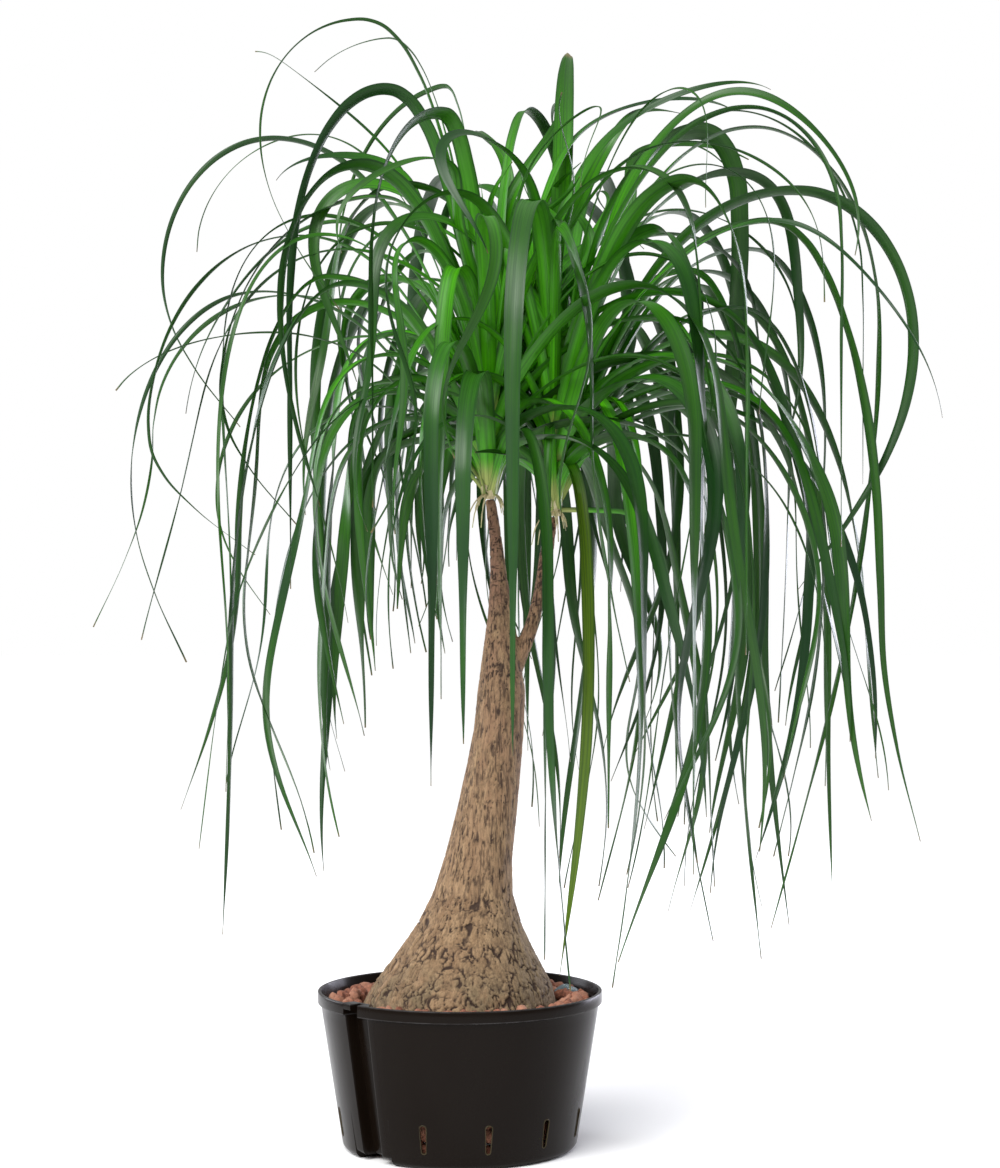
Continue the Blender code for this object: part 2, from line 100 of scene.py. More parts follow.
def link_mesh(name: str, points: Sequence, faces: Sequence) -> bpy.types.Object:
    """Make an object at the origin from points in metres, its faces turned outwards.

    Args:
        name: The piece's name.
        points: Corner positions.
        faces: Corner indices of each face.

    Returns:
        The new object, linked to the scene.
    """
    mesh = bpy.data.meshes.new(name)
    mesh.from_pydata([tuple(point) for point in points], [], [tuple(face) for face in faces])
    turn_outwards(mesh)
    made = bpy.data.objects.new(name, mesh)
    bpy.context.scene.collection.objects.link(made)
    return made


def turn_outwards(mesh: bpy.types.Mesh) -> None:
    """Point every closed shell's faces outwards.

    Args:
        mesh: The mesh to change.
    """
    shape = bmesh.new()
    shape.from_mesh(mesh)
    bmesh.ops.recalc_face_normals(shape, faces=shape.faces)
    shape.to_mesh(mesh)
    shape.free()


def merged_copy(node: str, name: str) -> bpy.types.Object:
    """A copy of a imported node's mesh with its loose triangles joined.

    Args:
        node: The node to copy.
        name: The copy's name.

    Returns:
        The new object at the origin.
    """
    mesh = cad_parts[node].data.copy()
    mesh.name = name
    mesh.materials.clear()
    shape = bmesh.new()
    shape.from_mesh(mesh)
    bmesh.ops.remove_doubles(shape, verts=shape.verts, dist=2e-6)
    bmesh.ops.recalc_face_normals(shape, faces=shape.faces)
    shape.to_mesh(mesh)
    shape.free()
    made = bpy.data.objects.new(name, mesh)
    bpy.context.scene.collection.objects.link(made)
    return made


def plain_mesh(made: bpy.types.Object) -> bpy.types.Object:
    """Turn an object's evaluated shape into its own mesh and drop its modifiers.

    Args:
        made: The object.

    Returns:
        The same object.
    """
    graph = bpy.context.evaluated_depsgraph_get()
    graph.update()
    mesh = bpy.data.meshes.new_from_object(made.evaluated_get(graph), depsgraph=graph)
    mesh.name = made.name
    made.modifiers.clear()
    made.data = mesh
    return made


def finish_mesh(made: bpy.types.Object, sharp_degrees: float) -> None:
    """Shade a mesh smooth, with hard edges past an angle."""
    made.data.shade_smooth()
    made.data.set_sharp_from_angle(angle=math.radians(sharp_degrees))


def place_piece(made: bpy.types.Object, slot: Slot, replaced: Iterable[str] = ()) -> None:
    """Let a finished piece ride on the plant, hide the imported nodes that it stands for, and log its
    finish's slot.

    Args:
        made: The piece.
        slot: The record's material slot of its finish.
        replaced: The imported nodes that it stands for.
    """
    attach(made, BODY)
    nodes = tuple(replaced)
    if nodes:
        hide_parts(*nodes)
    LOG.info("%s: %d faces, %s", made.name, len(made.data.polygons), slot.value)


class Wires:
    """Adds and links the nodes of one node tree."""

    def __init__(self, tree: bpy.types.NodeTree) -> None:
        """Keep the tree."""
        self.tree = tree

    def add(self, kind: str, feeds: Optional[Feeds] = None, **settings: object) -> bpy.types.Node:
        """Add a node.

        Args:
            kind: The node's type.
            feeds: What goes into its sockets, by name or place.
            **settings: The node's own options.

        Returns:
            The new node.
        """
        node = self.tree.nodes.new(kind)
        for option, value in settings.items():
            setattr(node, option, value)
        for key, value in (feeds or {}).items():
            self.feed(node.inputs[key], value)
        return node

    def feed(self, socket: Socket, value: Feed) -> None:
        """Link a socket, or set its constant.

        Args:
            socket: The input.
            value: A socket to link it to, or its constant.
        """
        if isinstance(value, Socket):
            self.tree.links.new(value, socket)
        else:
            socket.default_value = value

    def math(self, operation: str, first: Feed, second: Feed = 0.0, clamp: bool = False) -> Socket:
        """One step of arithmetic."""
        settings = {"operation": operation, "use_clamp": clamp}
        return self.add("ShaderNodeMath", {0: first, 1: second}, **settings).outputs[0]

    def times(self, first: Feed, second: Feed) -> Socket:
        """The product of two values."""
        return self.math("MULTIPLY", first, second)

    def plus(self, first: Feed, second: Feed, clamp: bool = False) -> Socket:
        """The sum of two values."""
        return self.math("ADD", first, second, clamp)

    def larger(self, first: Feed, second: Feed) -> Socket:
        """The larger of two values."""
        return self.math("MAXIMUM", first, second)

    def vector(self, operation: str, first: Feed, second: Feed) -> Socket:
        """One step of vector arithmetic."""
        return self.add("ShaderNodeVectorMath", {0: first, 1: second}, operation=operation).outputs[0]

    def scaled(self, vector: Feed, size: Feed) -> Socket:
        """A vector times a number.

        Args:
            vector: The vector.
            size: The number.

        Returns:
            The scaled vector's socket.
        """
        node = self.add("ShaderNodeVectorMath", {0: vector}, operation="SCALE")
        self.feed(node.inputs["Scale"], size)
        return node.outputs[0]

    def span(self, value: Feed, low: float, high: float, start: float = 0.0, end: float = 1.0) -> Socket:
        """Map a value from one span to another, held at both ends."""
        feeds = {"Value": value, "From Min": low, "From Max": high, "To Min": start, "To Max": end}
        return self.add("ShaderNodeMapRange", feeds, interpolation_type="SMOOTHSTEP").outputs[0]

    def mix(self, share: Feed, first: Feed, second: Feed) -> Socket:
        """Mix two colours.

        Args:
            share: How much of the second one.
            first: A colour or a socket.
            second: A colour or a socket.

        Returns:
            The mixed colour's socket.
        """
        node = self.add("ShaderNodeMix", data_type="RGBA", blend_type="MIX")
        self.feed(node.inputs[0], share)
        for socket, value in ((node.inputs[6], first), (node.inputs[7], second)):
            self.feed(socket, (*value, 1.0) if isinstance(value, tuple) else value)
        return node.outputs[2]

    def noise(self, place: Feed, scale: float, detail: float = 2.0, rough: float = 0.5) -> Socket:
        """A noise value from 0 to 1."""
        feeds = {"Vector": place, "Scale": scale, "Detail": detail, "Roughness": rough}
        return self.add("ShaderNodeTexNoise", feeds).outputs["Fac"]

    def stretched(self, place: Feed, stretch: Colour) -> Socket:
        """A position scaled along each axis."""
        return self.add("ShaderNodeMapping", {"Vector": place, "Scale": stretch}).outputs[0]


@dataclass(frozen=True)
class Finish:
    """A Principled finish on Object coordinates: the base of every material."""

    name: str
    roughness: float = 0.5

    def make(self) -> bpy.types.Material:
        """Build the material.

        Returns:
            A material whose colour, roughness and relief come from dress().
        """
        made = bpy.data.materials.new(self.name)
        made.use_nodes = True
        wires = Wires(made.node_tree)
        shader = made.node_tree.nodes["Principled BSDF"]
        shader.inputs["Roughness"].default_value = self.roughness
        self.dress(wires, shader)
        return made

    def dress(self, wires: Wires, shader: bpy.types.Node) -> None:
        """Wire the finish; each kind of surface has its own."""
        raise NotImplementedError

    @staticmethod
    def position(wires: Wires) -> Socket:
        """The place on the piece."""
        return wires.add("ShaderNodeTexCoord").outputs["Object"]

    @staticmethod
    def relief(wires: Wires, shader: bpy.types.Node, height: Feed, depth: float, strength: float) -> None:
        """Feed a height into the shader's normal."""
        feeds = {"Height": height, "Distance": depth, "Strength": strength}
        wires.feed(shader.inputs["Normal"], wires.add("ShaderNodeBump", feeds).outputs[0])


# ---- finishes --------------------------------------------------------------------------------
@dataclass(frozen=True)
class PotPlastic(Finish):
    """Dark brown-black injection-moulded plastic with a soft gloss."""

    colour: Colour = (0.0050, 0.0026, 0.0014)
    dusty: Colour = (0.0115, 0.009, 0.0072)
    # painted highlight colour for the rim's top edge and the collar's lower edge
    edge_highlight: Colour = (0.085, 0.082, 0.085)
    rim_level: float = 0.121
    collar_level: float = 0.1122

    def dress(self, wires: Wires, shader: bpy.types.Node) -> None:
        """Gloss with faint flow marks, handling haze, dust near the foot, and painted highlight lines along
        the rim's top edge and the collar's lower edge.

        Args:
            wires: Adds nodes to the material.
            shader: The material's own shader.
        """
        place = self.position(wires)
        haze = wires.noise(wires.stretched(place, (1.0, 1.0, 0.35)), 26.0, 4.0, 0.6)
        specks = wires.noise(place, 900.0, 2.0)
        height = wires.add("ShaderNodeSeparateXYZ", {0: place}).outputs["Z"]
        dust = wires.times(wires.span(height, 0.035, 0.0), wires.span(specks, 0.45, 0.75))
        share = wires.plus(wires.times(haze, 0.35), wires.times(dust, 0.5), clamp=True)
        body = wires.mix(share, self.colour, self.dusty)
        # Painted highlight: pale lines along the rim's top edge and the collar's lower edge, broken up by
        # noise.
        highlight_breakup = wires.noise(place, 130.0, 2.0)
        rim = wires.span(height, self.rim_level - 0.0012, self.rim_level)
        off_collar = wires.math("ABSOLUTE", wires.math("SUBTRACT", height, self.collar_level))
        edges = wires.larger(rim, wires.span(off_collar, 0.0007, 0.0))
        edges = wires.times(edges, wires.span(highlight_breakup, 0.3, 0.7, 0.2, 0.5))
        wires.feed(shader.inputs["Base Color"], wires.mix(edges, body, self.edge_highlight))
        gloss = wires.span(haze, 0.25, 0.8, self.roughness - 0.06, self.roughness + 0.1)
        wires.feed(shader.inputs["Roughness"], gloss)
        flow = wires.noise(wires.stretched(place, (1.0, 1.0, 0.12)), 60.0, 3.0)
        shader.inputs["Specular IOR Level"].default_value = 0.10
        self.relief(wires, shader, wires.plus(flow, wires.times(specks, 0.12)), 0.00008, 0.3)


@dataclass(frozen=True)
class FiredClay(Finish):
    """Porous red-brown clay granules, each with its own tone."""

    dark: Colour = (0.13, 0.045, 0.026)
    warm: Colour = (0.36, 0.135, 0.078)
    pale: Colour = (0.52, 0.27, 0.18)

    def dress(self, wires: Wires, shader: bpy.types.Node) -> None:
        """Pores, dust and a tone for each granule.

        Args:
            wires: Adds nodes to the material.
            shader: The material's own shader.
        """
        place = self.position(wires)
        tone = wires.add("ShaderNodeAttribute", attribute_name="tone").outputs["Fac"]
        grain = wires.noise(place, 420.0, 5.0, 0.65)
        pores = wires.add("ShaderNodeTexVoronoi", {"Vector": place, "Scale": 750.0}).outputs["Distance"]
        body = wires.mix(wires.span(grain, 0.3, 0.7), self.dark, self.warm)
        body = wires.mix(wires.times(wires.span(tone, 0.3, 1.0), 0.6), body, self.pale)
        body = wires.mix(wires.span(tone, 0.3, 0.0, 0.0, 0.55), body, self.dark)
        wires.feed(shader.inputs["Base Color"], body)
        height = wires.plus(grain, wires.times(wires.span(pores, 0.0, 0.5), 0.5))
        self.relief(wires, shader, height, 0.0009, 0.8)


@dataclass(frozen=True)
class GreyStone(Finish):
    """A blue-grey pebble with pale specks."""

    def dress(self, wires: Wires, shader: bpy.types.Node) -> None:
        """Fine grain and specks.

        Args:
            wires: Adds nodes to the material.
            shader: The material's own shader.
        """
        place = self.position(wires)
        grain = wires.noise(place, 380.0, 4.0, 0.6)
        specks = wires.noise(place, 900.0, 1.0)
        body = wires.mix(grain, (0.03, 0.05, 0.06), (0.16, 0.23, 0.26))
        body = wires.mix(wires.span(specks, 0.62, 0.7), body, (0.6, 0.64, 0.62))
        wires.feed(shader.inputs["Base Color"], body)
        self.relief(wires, shader, grain, 0.0006, 0.6)


@dataclass(frozen=True)
class CorkyBark(Finish):
    """Pale corky bark: the mesh carries its plates, and the finish their colour and grain."""

    plate: Colour = (0.205, 0.121, 0.060)
    light: Colour = (0.36, 0.236, 0.128)
    rosy: Colour = (0.29, 0.165, 0.095)
    red: Colour = (0.27, 0.135, 0.09)
    crack: Colour = (0.042, 0.022, 0.013)
    greenish_dark: Colour = (0.155, 0.135, 0.078)

    def dress(self, wires: Wires, shader: bpy.types.Node) -> None:
        """Plate tones, dark fissures, greenish damp near the granules, the same greenish dark tone on the +X
        flank below 0.26 m, and fine fibre.

        Args:
            wires: Adds nodes to the material.
            shader: The material's own shader.
        """
        place = self.position(wires)
        fissure = wires.add("ShaderNodeAttribute", attribute_name="fissure").outputs["Fac"]
        tone = wires.add("ShaderNodeAttribute", attribute_name="tone").outputs["Fac"]
        split = wires.add("ShaderNodeSeparateXYZ", {0: place})
        height, east = split.outputs["Z"], split.outputs["X"]
        fibre = wires.noise(wires.stretched(place, (1.0, 1.0, 0.22)), 520.0, 5.0, 0.65)
        grain = wires.noise(place, 850.0, 4.0, 0.65)
        blotch = wires.noise(wires.stretched(place, (1.0, 1.0, 0.5)), 60.0, 5.0, 0.65)
        body = wires.mix(wires.span(wires.plus(tone, grain), 0.35, 1.45), self.plate, self.light)
        rosy = wires.times(wires.span(height, 0.15, 0.40, 0.15, 0.8), wires.span(blotch, 0.35, 0.65))
        body = wires.mix(rosy, body, self.rosy)
        red = wires.times(wires.span(height, 0.38, 0.45, 0.0, 0.7), wires.span(blotch, 0.3, 0.6, 0.3, 1.0))
        body = wires.mix(red, body, self.red)
        low = wires.times(wires.span(height, 0.16, 0.112, 0.0, 0.6), wires.span(blotch, 0.6, 0.4))
        # Greener and darker on the +X flank below 0.26 m.
        side = wires.times(wires.span(east, 0.01, 0.06, 0.0, 0.5), wires.span(height, 0.26, 0.15))
        body = wires.mix(wires.larger(low, side), body, self.greenish_dark)
        dashes = wires.noise(wires.stretched(place, (1.0, 1.0, 0.11)), 520.0, 2.0, 0.5)
        dashed = wires.times(wires.span(dashes, 0.55, 0.64), wires.span(height, 0.13, 0.24, 0.25, 0.7))
        scars = wires.noise(wires.stretched(place, (0.4, 0.4, 1.3)), 330.0, 3.0, 0.6)
        scarred = wires.times(wires.span(scars, 0.56, 0.63), wires.span(height, 0.40, 0.45, 0.0, 0.9))
        dashed = wires.larger(wires.times(dashed, wires.span(height, 0.47, 0.41, 0.2, 1.0)), scarred)
        body = wires.mix(dashed, body, self.crack)
        body = wires.mix(wires.span(fibre, 0.42, 0.72, 0.0, 0.45), body, self.crack)
        wires.feed(shader.inputs["Base Color"], wires.mix(wires.span(fissure, 0.02, 0.62), body, self.crack))
        relief = wires.math("SUBTRACT", wires.plus(grain, wires.times(fibre, 1.5)), dashed)
        self.relief(wires, shader, relief, 0.0009, 0.75)


@dataclass(frozen=True)
class LeafBlade(Finish):
    """Leathery strap leaves: bright where they leave the crown, partly their own young green and partly
    painted backlight; dark and cool where they hang.
    """

    cream: Colour = (0.50, 0.52, 0.16)
    # bright yellow-green of young blades near the crown: partly their own lighter green, partly painted
    # backlight
    young_backlit: Colour = (0.10, 0.56, 0.002)
    olive: Colour = (0.085, 0.16, 0.004)
    grown: Colour = (0.022, 0.102, 0.0045)
    old: Colour = (0.006, 0.036, 0.008)
    # darker, duller underside: partly the blade's own duller back, partly painted shade
    under: Colour = (0.022, 0.070, 0.012)
    dry: Colour = (0.16, 0.11, 0.05)
    vein_pitch: float = 0.0011

    def dress(self, wires: Wires, shader: bpy.types.Node) -> None:
        """Colour by age and distance from the crown, with painted backlight near the crown, parallel veins, a
        duller underside that is partly painted shade, and painted shade along the edges.

        Args:
            wires: Adds nodes to the material.
            shader: The material's own shader.
        """
        reach, youth, tone, tip, half = (
            wires.add("ShaderNodeAttribute", attribute_name=name).outputs["Fac"]
            for name in ("reach", "youth", "tone", "tip", "half_width"))
        section = wires.add("ShaderNodeAttribute", attribute_name="section").outputs["Vector"]
        split = wires.add("ShaderNodeSeparateXYZ", {0: section})
        across, side = split.outputs["X"], split.outputs["Y"]
        strand = wires.add("ShaderNodeCombineXYZ", {
            "X": wires.math("DIVIDE", wires.times(across, half), self.vein_pitch),
            "Y": wires.times(reach, 9.0), "Z": wires.times(tone, 40.0)}).outputs[0]
        veins = wires.noise(strand, 1.0, 2.0, 0.6)
        clouds = wires.noise(self.position(wires), 11.0, 3.0)
        backlit_share = wires.times(wires.span(reach, 0.28, 0.07), wires.span(youth, 0.1, 0.65, 0.04, 1.0))
        warm = wires.plus(wires.times(tone, 0.7), clouds)
        body = wires.mix(wires.span(warm, 0.45, 1.15), self.old, self.grown)
        # Painted backlight, partly the blades' own lighter green: lighter towards the crown, and young blades
        # there bright yellow-green.
        body = wires.mix(wires.span(reach, 0.36, 0.12, 0.0, 0.5), body, self.grown)
        body = wires.mix(backlit_share, body, self.young_backlit)
        body = wires.mix(wires.span(tone, 1.2, 1.4), body, self.olive)
        # Underside darker and duller: partly the blade's own back, partly painted shade.
        body = wires.mix(wires.span(side, 0.05, -0.05, 0.0, 0.35), body, self.under)
        # The foot of every blade in the same bright green: partly its own paler base, partly painted
        # backlight.
        body = wires.mix(wires.span(reach, 0.075, 0.02, 0.0, 0.7), body, self.young_backlit)
        body = wires.mix(wires.span(reach, 0.026, 0.006, 0.0, 0.85), body, self.cream)
        body = wires.mix(wires.span(veins, 0.38, 0.68, 0.0, 0.5), body, self.old)
        # Painted shade: the blade's edges darkened towards the old green.
        edge = wires.span(wires.math("ABSOLUTE", across), 0.62, 1.0, 0.0, 0.55)
        body = wires.mix(edge, body, self.old)
        body = wires.mix(wires.span(tip, 0.985, 1.0, 0.0, 0.8), body, self.dry)
        wires.feed(shader.inputs["Base Color"], body)
        gloss = wires.span(veins, 0.2, 0.8, self.roughness - 0.06, self.roughness + 0.12)
        wires.feed(shader.inputs["Roughness"], gloss)
        shader.inputs["Specular IOR Level"].default_value = 0.34
        self.relief(wires, shader, veins, 0.00014, 0.45)


@dataclass(frozen=True)
class DrySheath(Finish):
    """Cream and straw-brown dried leaf bases."""

    cream: Colour = (0.66, 0.60, 0.36)
    straw: Colour = (0.42, 0.29, 0.15)
    green: Colour = (0.22, 0.38, 0.04)

    def dress(self, wires: Wires, shader: bpy.types.Node) -> None:
        """Straw at the foot, cream above it, and green where the leaves are alive.

        Args:
            wires: Adds nodes to the material.
            shader: The material's own shader.
        """
        place = self.position(wires)
        reach = wires.add("ShaderNodeAttribute", attribute_name="reach").outputs["Fac"]
        fibre = wires.noise(wires.stretched(place, (1.0, 1.0, 0.2)), 500.0, 3.0, 0.6)
        body = wires.mix(wires.span(fibre, 0.3, 0.8, 0.0, 0.7), self.cream, self.straw)
        body = wires.mix(wires.span(reach, 0.016, 0.05), body, self.green)
        wires.feed(shader.inputs["Base Color"], body)
        self.relief(wires, shader, fibre, 0.0005, 0.5)


@dataclass(frozen=True)
class PaleFloor(Finish):
    """A plain pale studio floor."""

    colour: Colour = (0.985, 0.985, 0.985)

    def dress(self, wires: Wires, shader: bpy.types.Node) -> None:
        """One even tone.

        Args:
            wires: Adds nodes to the material.
            shader: The material's own shader.
        """
        shader.inputs["Base Color"].default_value = (*self.colour, 1.0)


# ---- studio ----------------------------------------------------------------------------------
@dataclass
class Studio:
    """Camera, soft lights and a pale floor."""

    camera_place: Colour = (0.031, -2.007, 0.4347)
    lens: float = 79.83
    sensor: float = 36.0
    floor_half: float = 14.0
    surround: float = 0.42         # how brightly the white surround lights the plant
    sky_turn: Colour = (38.0, -24.0, 0.0)
    sky_power: float = 2.8

    def build(self) -> None:
        """Set up the camera, the lights, the world and the floor."""
        self.add_camera()
        self.add_softbox("key", (-1.3, -1.7, 2.0), 0.9, 22.0, (1.0, 0.98, 0.95))
        self.add_softbox("right_rim", (1.7, 1.6, 0.7), 1.3, 44.0, (0.86, 0.85, 1.0))
        self.add_softbox("left_rim", (-1.9, 1.2, 0.8), 1.1, 22.0, (0.90, 0.92, 1.0))
        self.add_sky_panel()
        self.add_world()
        self.add_floor()

    def add_camera(self) -> None:
        """A level camera at half the plant's height."""
        data = bpy.data.cameras.new("camera")
        data.lens = self.lens
        data.sensor_width = self.sensor
        camera = bpy.data.objects.new("camera", data)
        camera.location = self.camera_place
        camera.rotation_euler = (math.radians(90.0), 0.0, 0.0)
        bpy.context.scene.collection.objects.link(camera)
        bpy.context.scene.camera = camera

    @staticmethod
    def add_softbox(name: str, place: Colour, size: float, power: float, tint: Colour) -> None:
        """One square area light that looks at the plant's middle.

        Args:
            name: The light's name.
            place: Where it stands.
            size: Of its side.
            power: In watts.
            tint: Its colour.
        """
        data = bpy.data.lights.new(name, "AREA")
        data.energy = power
        data.size = size
        data.color = tint
        light = bpy.data.objects.new(name, data)
        light.location = place
        light.rotation_euler = (Vector((0.0, 0.0, 0.4)) - Vector(place)).to_track_quat("-Z", "Y").to_euler()
        light.visible_camera = False
        bpy.context.scene.collection.objects.link(light)

    def add_sky_panel(self) -> None:
        """A very wide light from above that also keeps the whole floor pale."""
        data = bpy.data.lights.new("sky_panel", "SUN")
        data.energy = self.sky_power
        data.angle = math.radians(50.0)
        light = bpy.data.objects.new("sky_panel", data)
        light.rotation_euler = [math.radians(turn) for turn in self.sky_turn]
        bpy.context.scene.collection.objects.link(light)

    def add_world(self) -> None:
        """A white backdrop whose own light on the plant is dimmer than it looks."""
        world = bpy.data.worlds.new("surround")
        world.use_nodes = True
        wires = Wires(world.node_tree)
        seen = wires.add("ShaderNodeLightPath").outputs["Is Camera Ray"]
        ground = world.node_tree.nodes["Background"]
        ground.inputs["Color"].default_value = (1.0, 1.0, 1.0, 1.0)
        wires.feed(ground.inputs["Strength"], wires.span(seen, 0.0, 1.0, self.surround, 1.0))
        bpy.context.scene.world = world
        bpy.context.scene.view_settings.view_transform = "Standard"

    def add_floor(self) -> None:
        """A wide flat floor just under the pot."""
        half = self.floor_half
        corners = [(-half, -half, 0.0), (half, -half, 0.0), (half, half, 0.0), (-half, half, 0.0)]
        floor = link_mesh("studio_floor", corners, [(0, 1, 2, 3)])
        floor.data.materials.append(PaleFloor("studio_floor", 0.9).make())


# ---- node trees ------------------------------------------------------------------------------
def new_tree(name: str, taken: str, kinds: dict[str, str], given: str) -> bpy.types.NodeTree:
    """Start a geometry node tree with named inputs.

    Args:
        name: The tree's name.
        taken: The name of the geometry that it takes.
        kinds: Its other inputs, each with the kind of its socket.
        given: The name of the geometry that it gives.

    Returns:
        The tree, with its sockets and no nodes yet.
    """
    tree = bpy.data.node_groups.new(name, "GeometryNodeTree")
    tree.interface.new_socket(taken, in_out="INPUT", socket_type="NodeSocketGeometry")
    for label, kind in kinds.items():
        tree.interface.new_socket(label, in_out="INPUT", socket_type=f"NodeSocket{kind}")
    tree.interface.new_socket(given, in_out="OUTPUT", socket_type="NodeSocketGeometry")
    return tree


# ---- pot -------------------------------------------------------------------------------------
@dataclass(frozen=True)
class WallStrip:
    """One upright strip of the pot's wall."""

    azimuth: float         # degrees
    depth: float           # how far the gauge groove sets the wall back here, mm
    open_rim: bool         # the rim's gap, where a gauge is put in
    lug: bool              # the thin lug runs over the groove here
    lifted: float          # how far the foot edge is raised here, 0 to 1
    aside: float           # which way the wall's inner face lies from its outer face


@dataclass
class CulturePot:
    """The culture pot, in mm: tapered wall, rim collar, gauge groove, foot notch and root slots."""

    height: float = 121.0
    rim_radius: float = 110.0
    wall_top: float = 107.6
    base_radius: float = 90.0
    wall: float = 1.8
    floor: float = 2.5
    collar: float = 9.5
    foot: float = 6.0
    groove_azimuth: float = 224.0
    groove_depth: float = 9.0
    lug_height: float = 5.0
    degrees_per_mm: float = 0.573
    notch_half: float = 12.5
    notch_rise: float = 4.5
    notch_radius: float = 68.0
    slot_width: float = 5.5
    slot_span: tuple[float, float] = (12.0, 34.0)
    slot_pitch: int = 30
    finish: Finish = field(default_factory=lambda: PotPlastic("pot_plastic", 0.22))
    # The slot lips' lighter brown is a painted highlight round each root slot.
    lip_highlight_finish: Finish = field(default_factory=lambda: PotPlastic(
        "pot_lips_painted_highlight", 0.4, (0.035, 0.027, 0.015), (0.09, 0.07, 0.035)))

    def groove_share(self, along: float) -> float:
        """Depth of the groove along the wall: one steep side, one soft lip.

        Args:
            along: Distance from the groove's middle, mm.

        Returns:
            The share of its full depth.
        """
        steep = smooth_step((along + 11.0) / 1.6)
        soft = 1.0 - smooth_step((along - 4.8) / 8.0)
        return float(steep * soft)

    def strips(self) -> list[WallStrip]:
        """The wall's strips, closer together over the groove.

        Returns:
            The strips in order of azimuth.
        """
        fine = [-12.0, -11.0, -10.6, -10.2, -9.8, -9.4, -8.0, -6.0, -4.0, -2.6, -2.3, -2.0, 0.0, 2.0, 4.3]
        fine += [4.6, 4.9, 6.0, 7.0, 8.0, 9.0, 10.0, 11.0, 12.0, 13.0]
        made = []
        for along in fine:
            share = self.groove_share(along)
            gap = -2.2 < along < 4.7
            lug = -9.9 < along <= -2.2
            aside = -1.0 if along < -9.2 else (1.0 if along > 5.5 else 0.0)
            azimuth = self.groove_azimuth + along * self.degrees_per_mm
            made.append(WallStrip(azimuth, share * self.groove_depth, gap, lug, 1.0, aside))
        for side in (-1, 1):
            for extra in (0.0, 0.35):
                azimuth = self.groove_azimuth + side * (self.notch_half + extra)
                made.append(WallStrip(azimuth, 0.0, False, False, 1.0 if extra == 0.0 else 0.0, 0.0))
        step = 1.5
        for index in range(int(360 / step)):
            away = (index + 0.5) * step
            gap = min(away, 360.0 - away)
            if gap > self.notch_half + 0.8:
                made.append(WallStrip(self.groove_azimuth + away, 0.0, False, False, 0.0, 0.0))
            elif gap > 8.6:
                made.append(WallStrip(self.groove_azimuth + away, 0.0, False, False, 1.0, 0.0))
        return sorted(made, key=lambda strip: strip.azimuth % 360.0)

    def wall_radius(self, height: float) -> float:
        """Outside radius of the tapered wall at a height."""
        return self.base_radius + (self.wall_top - self.base_radius) * height / (self.height - self.collar)

    def outline(self, strip: WallStrip) -> list[tuple[float, float, float]]:
        """The pot's section at one strip, from the middle of the underside to that of the floor.

        Args:
            strip: The strip.

        Returns:
            Places in metres.
        """
        lift = self.notch_rise * strip.lifted
        back = strip.depth
        top, radius = self.height, self.rim_radius
        ledge = top - (self.lug_height if strip.lug else self.collar)
        rim_back = back if strip.open_rim else 0.0
        foot_radius = self.wall_radius(0.0) - self.foot - back * 0.7
        outer = [(0.0, 0.0), (30.0, 0.0), (self.notch_radius, 0.0), (self.notch_radius + 0.6, lift)]
        outer += [(foot_radius, lift)]
        for step in range(1, 5):
            turn = math.radians(90.0 * step / 5.0)
            out = foot_radius + (self.wall_radius(self.foot) - back - foot_radius) * math.sin(turn)
            outer.append((out, lift * (1.0 - 0.1 * step) + self.foot * (1.0 - math.cos(turn))))
        outer += [(self.wall_radius(self.foot) - back, self.foot + lift * 0.5)]
        outer += [(self.wall_radius(level) - back, level) for level in (36.0, 60.0, 85.0, 105.0)]
        edge = radius - rim_back
        under = self.wall_radius(ledge) - back
        outer += [(under - 0.2, ledge - 0.5), (under, ledge)]
        outer += [(edge - 0.9, ledge + 0.15), (edge - 0.3, ledge + 0.45), (edge, ledge + 1.2)]
        outer += [(edge, top - 0.8), (edge - 0.25, top - 0.25), (edge - 0.8, top)]
        inside = self.wall_radius(top) - back - self.wall
        inner = [(inside + 0.6, top), (inside + 0.15, top - 0.2), (inside, top - 0.7)]
        inner += [(self.wall_radius(60.0) - back - self.wall, 60.0)]
        inner += [(self.wall_radius(self.foot) - back - self.wall, self.foot + lift + 1.0)]
        inner += [(foot_radius - 2.0, self.floor + lift), (self.notch_radius - 2.0, self.floor + lift)]
        inner += [(self.notch_radius - 2.6, self.floor), (30.0, self.floor), (0.0, self.floor)]
        beside = strip.azimuth + strip.aside * self.wall * self.degrees_per_mm
        points = [self.at(out, strip.azimuth, level) for out, level in outer]
        return points + [self.at(out, beside, level) for out, level in inner]

    @staticmethod
    def at(radius: float, azimuth: float, height: float) -> tuple[float, float, float]:
        """A point in metres from a radius and height in mm and an azimuth in degrees."""
        turn = math.radians(azimuth)
        return (radius * math.cos(turn) * MM, radius * math.sin(turn) * MM, height * MM)

    def shell(self) -> bpy.types.Object:
        """The pot's turned body before its slots are cut.

        Returns:
            The shell as one closed mesh.
        """
        columns = [self.outline(strip) for strip in self.strips()]
        inner = len(columns[0]) - 2
        points = [columns[0][0]]
        for column in columns:
            points.extend(column[1:-1])
        points.append(columns[0][-1])
        faces = []
        for index in range(len(columns)):
            here, after = 1 + index * inner, 1 + ((index + 1) % len(columns)) * inner
            faces.append((0, after, here))
            for step in range(inner - 1):
                faces.append((here + step, after + step, after + step + 1, here + step + 1))
            faces.append((here + inner - 1, after + inner - 1, len(points) - 1))
        return link_mesh("pot_shell", points, faces)

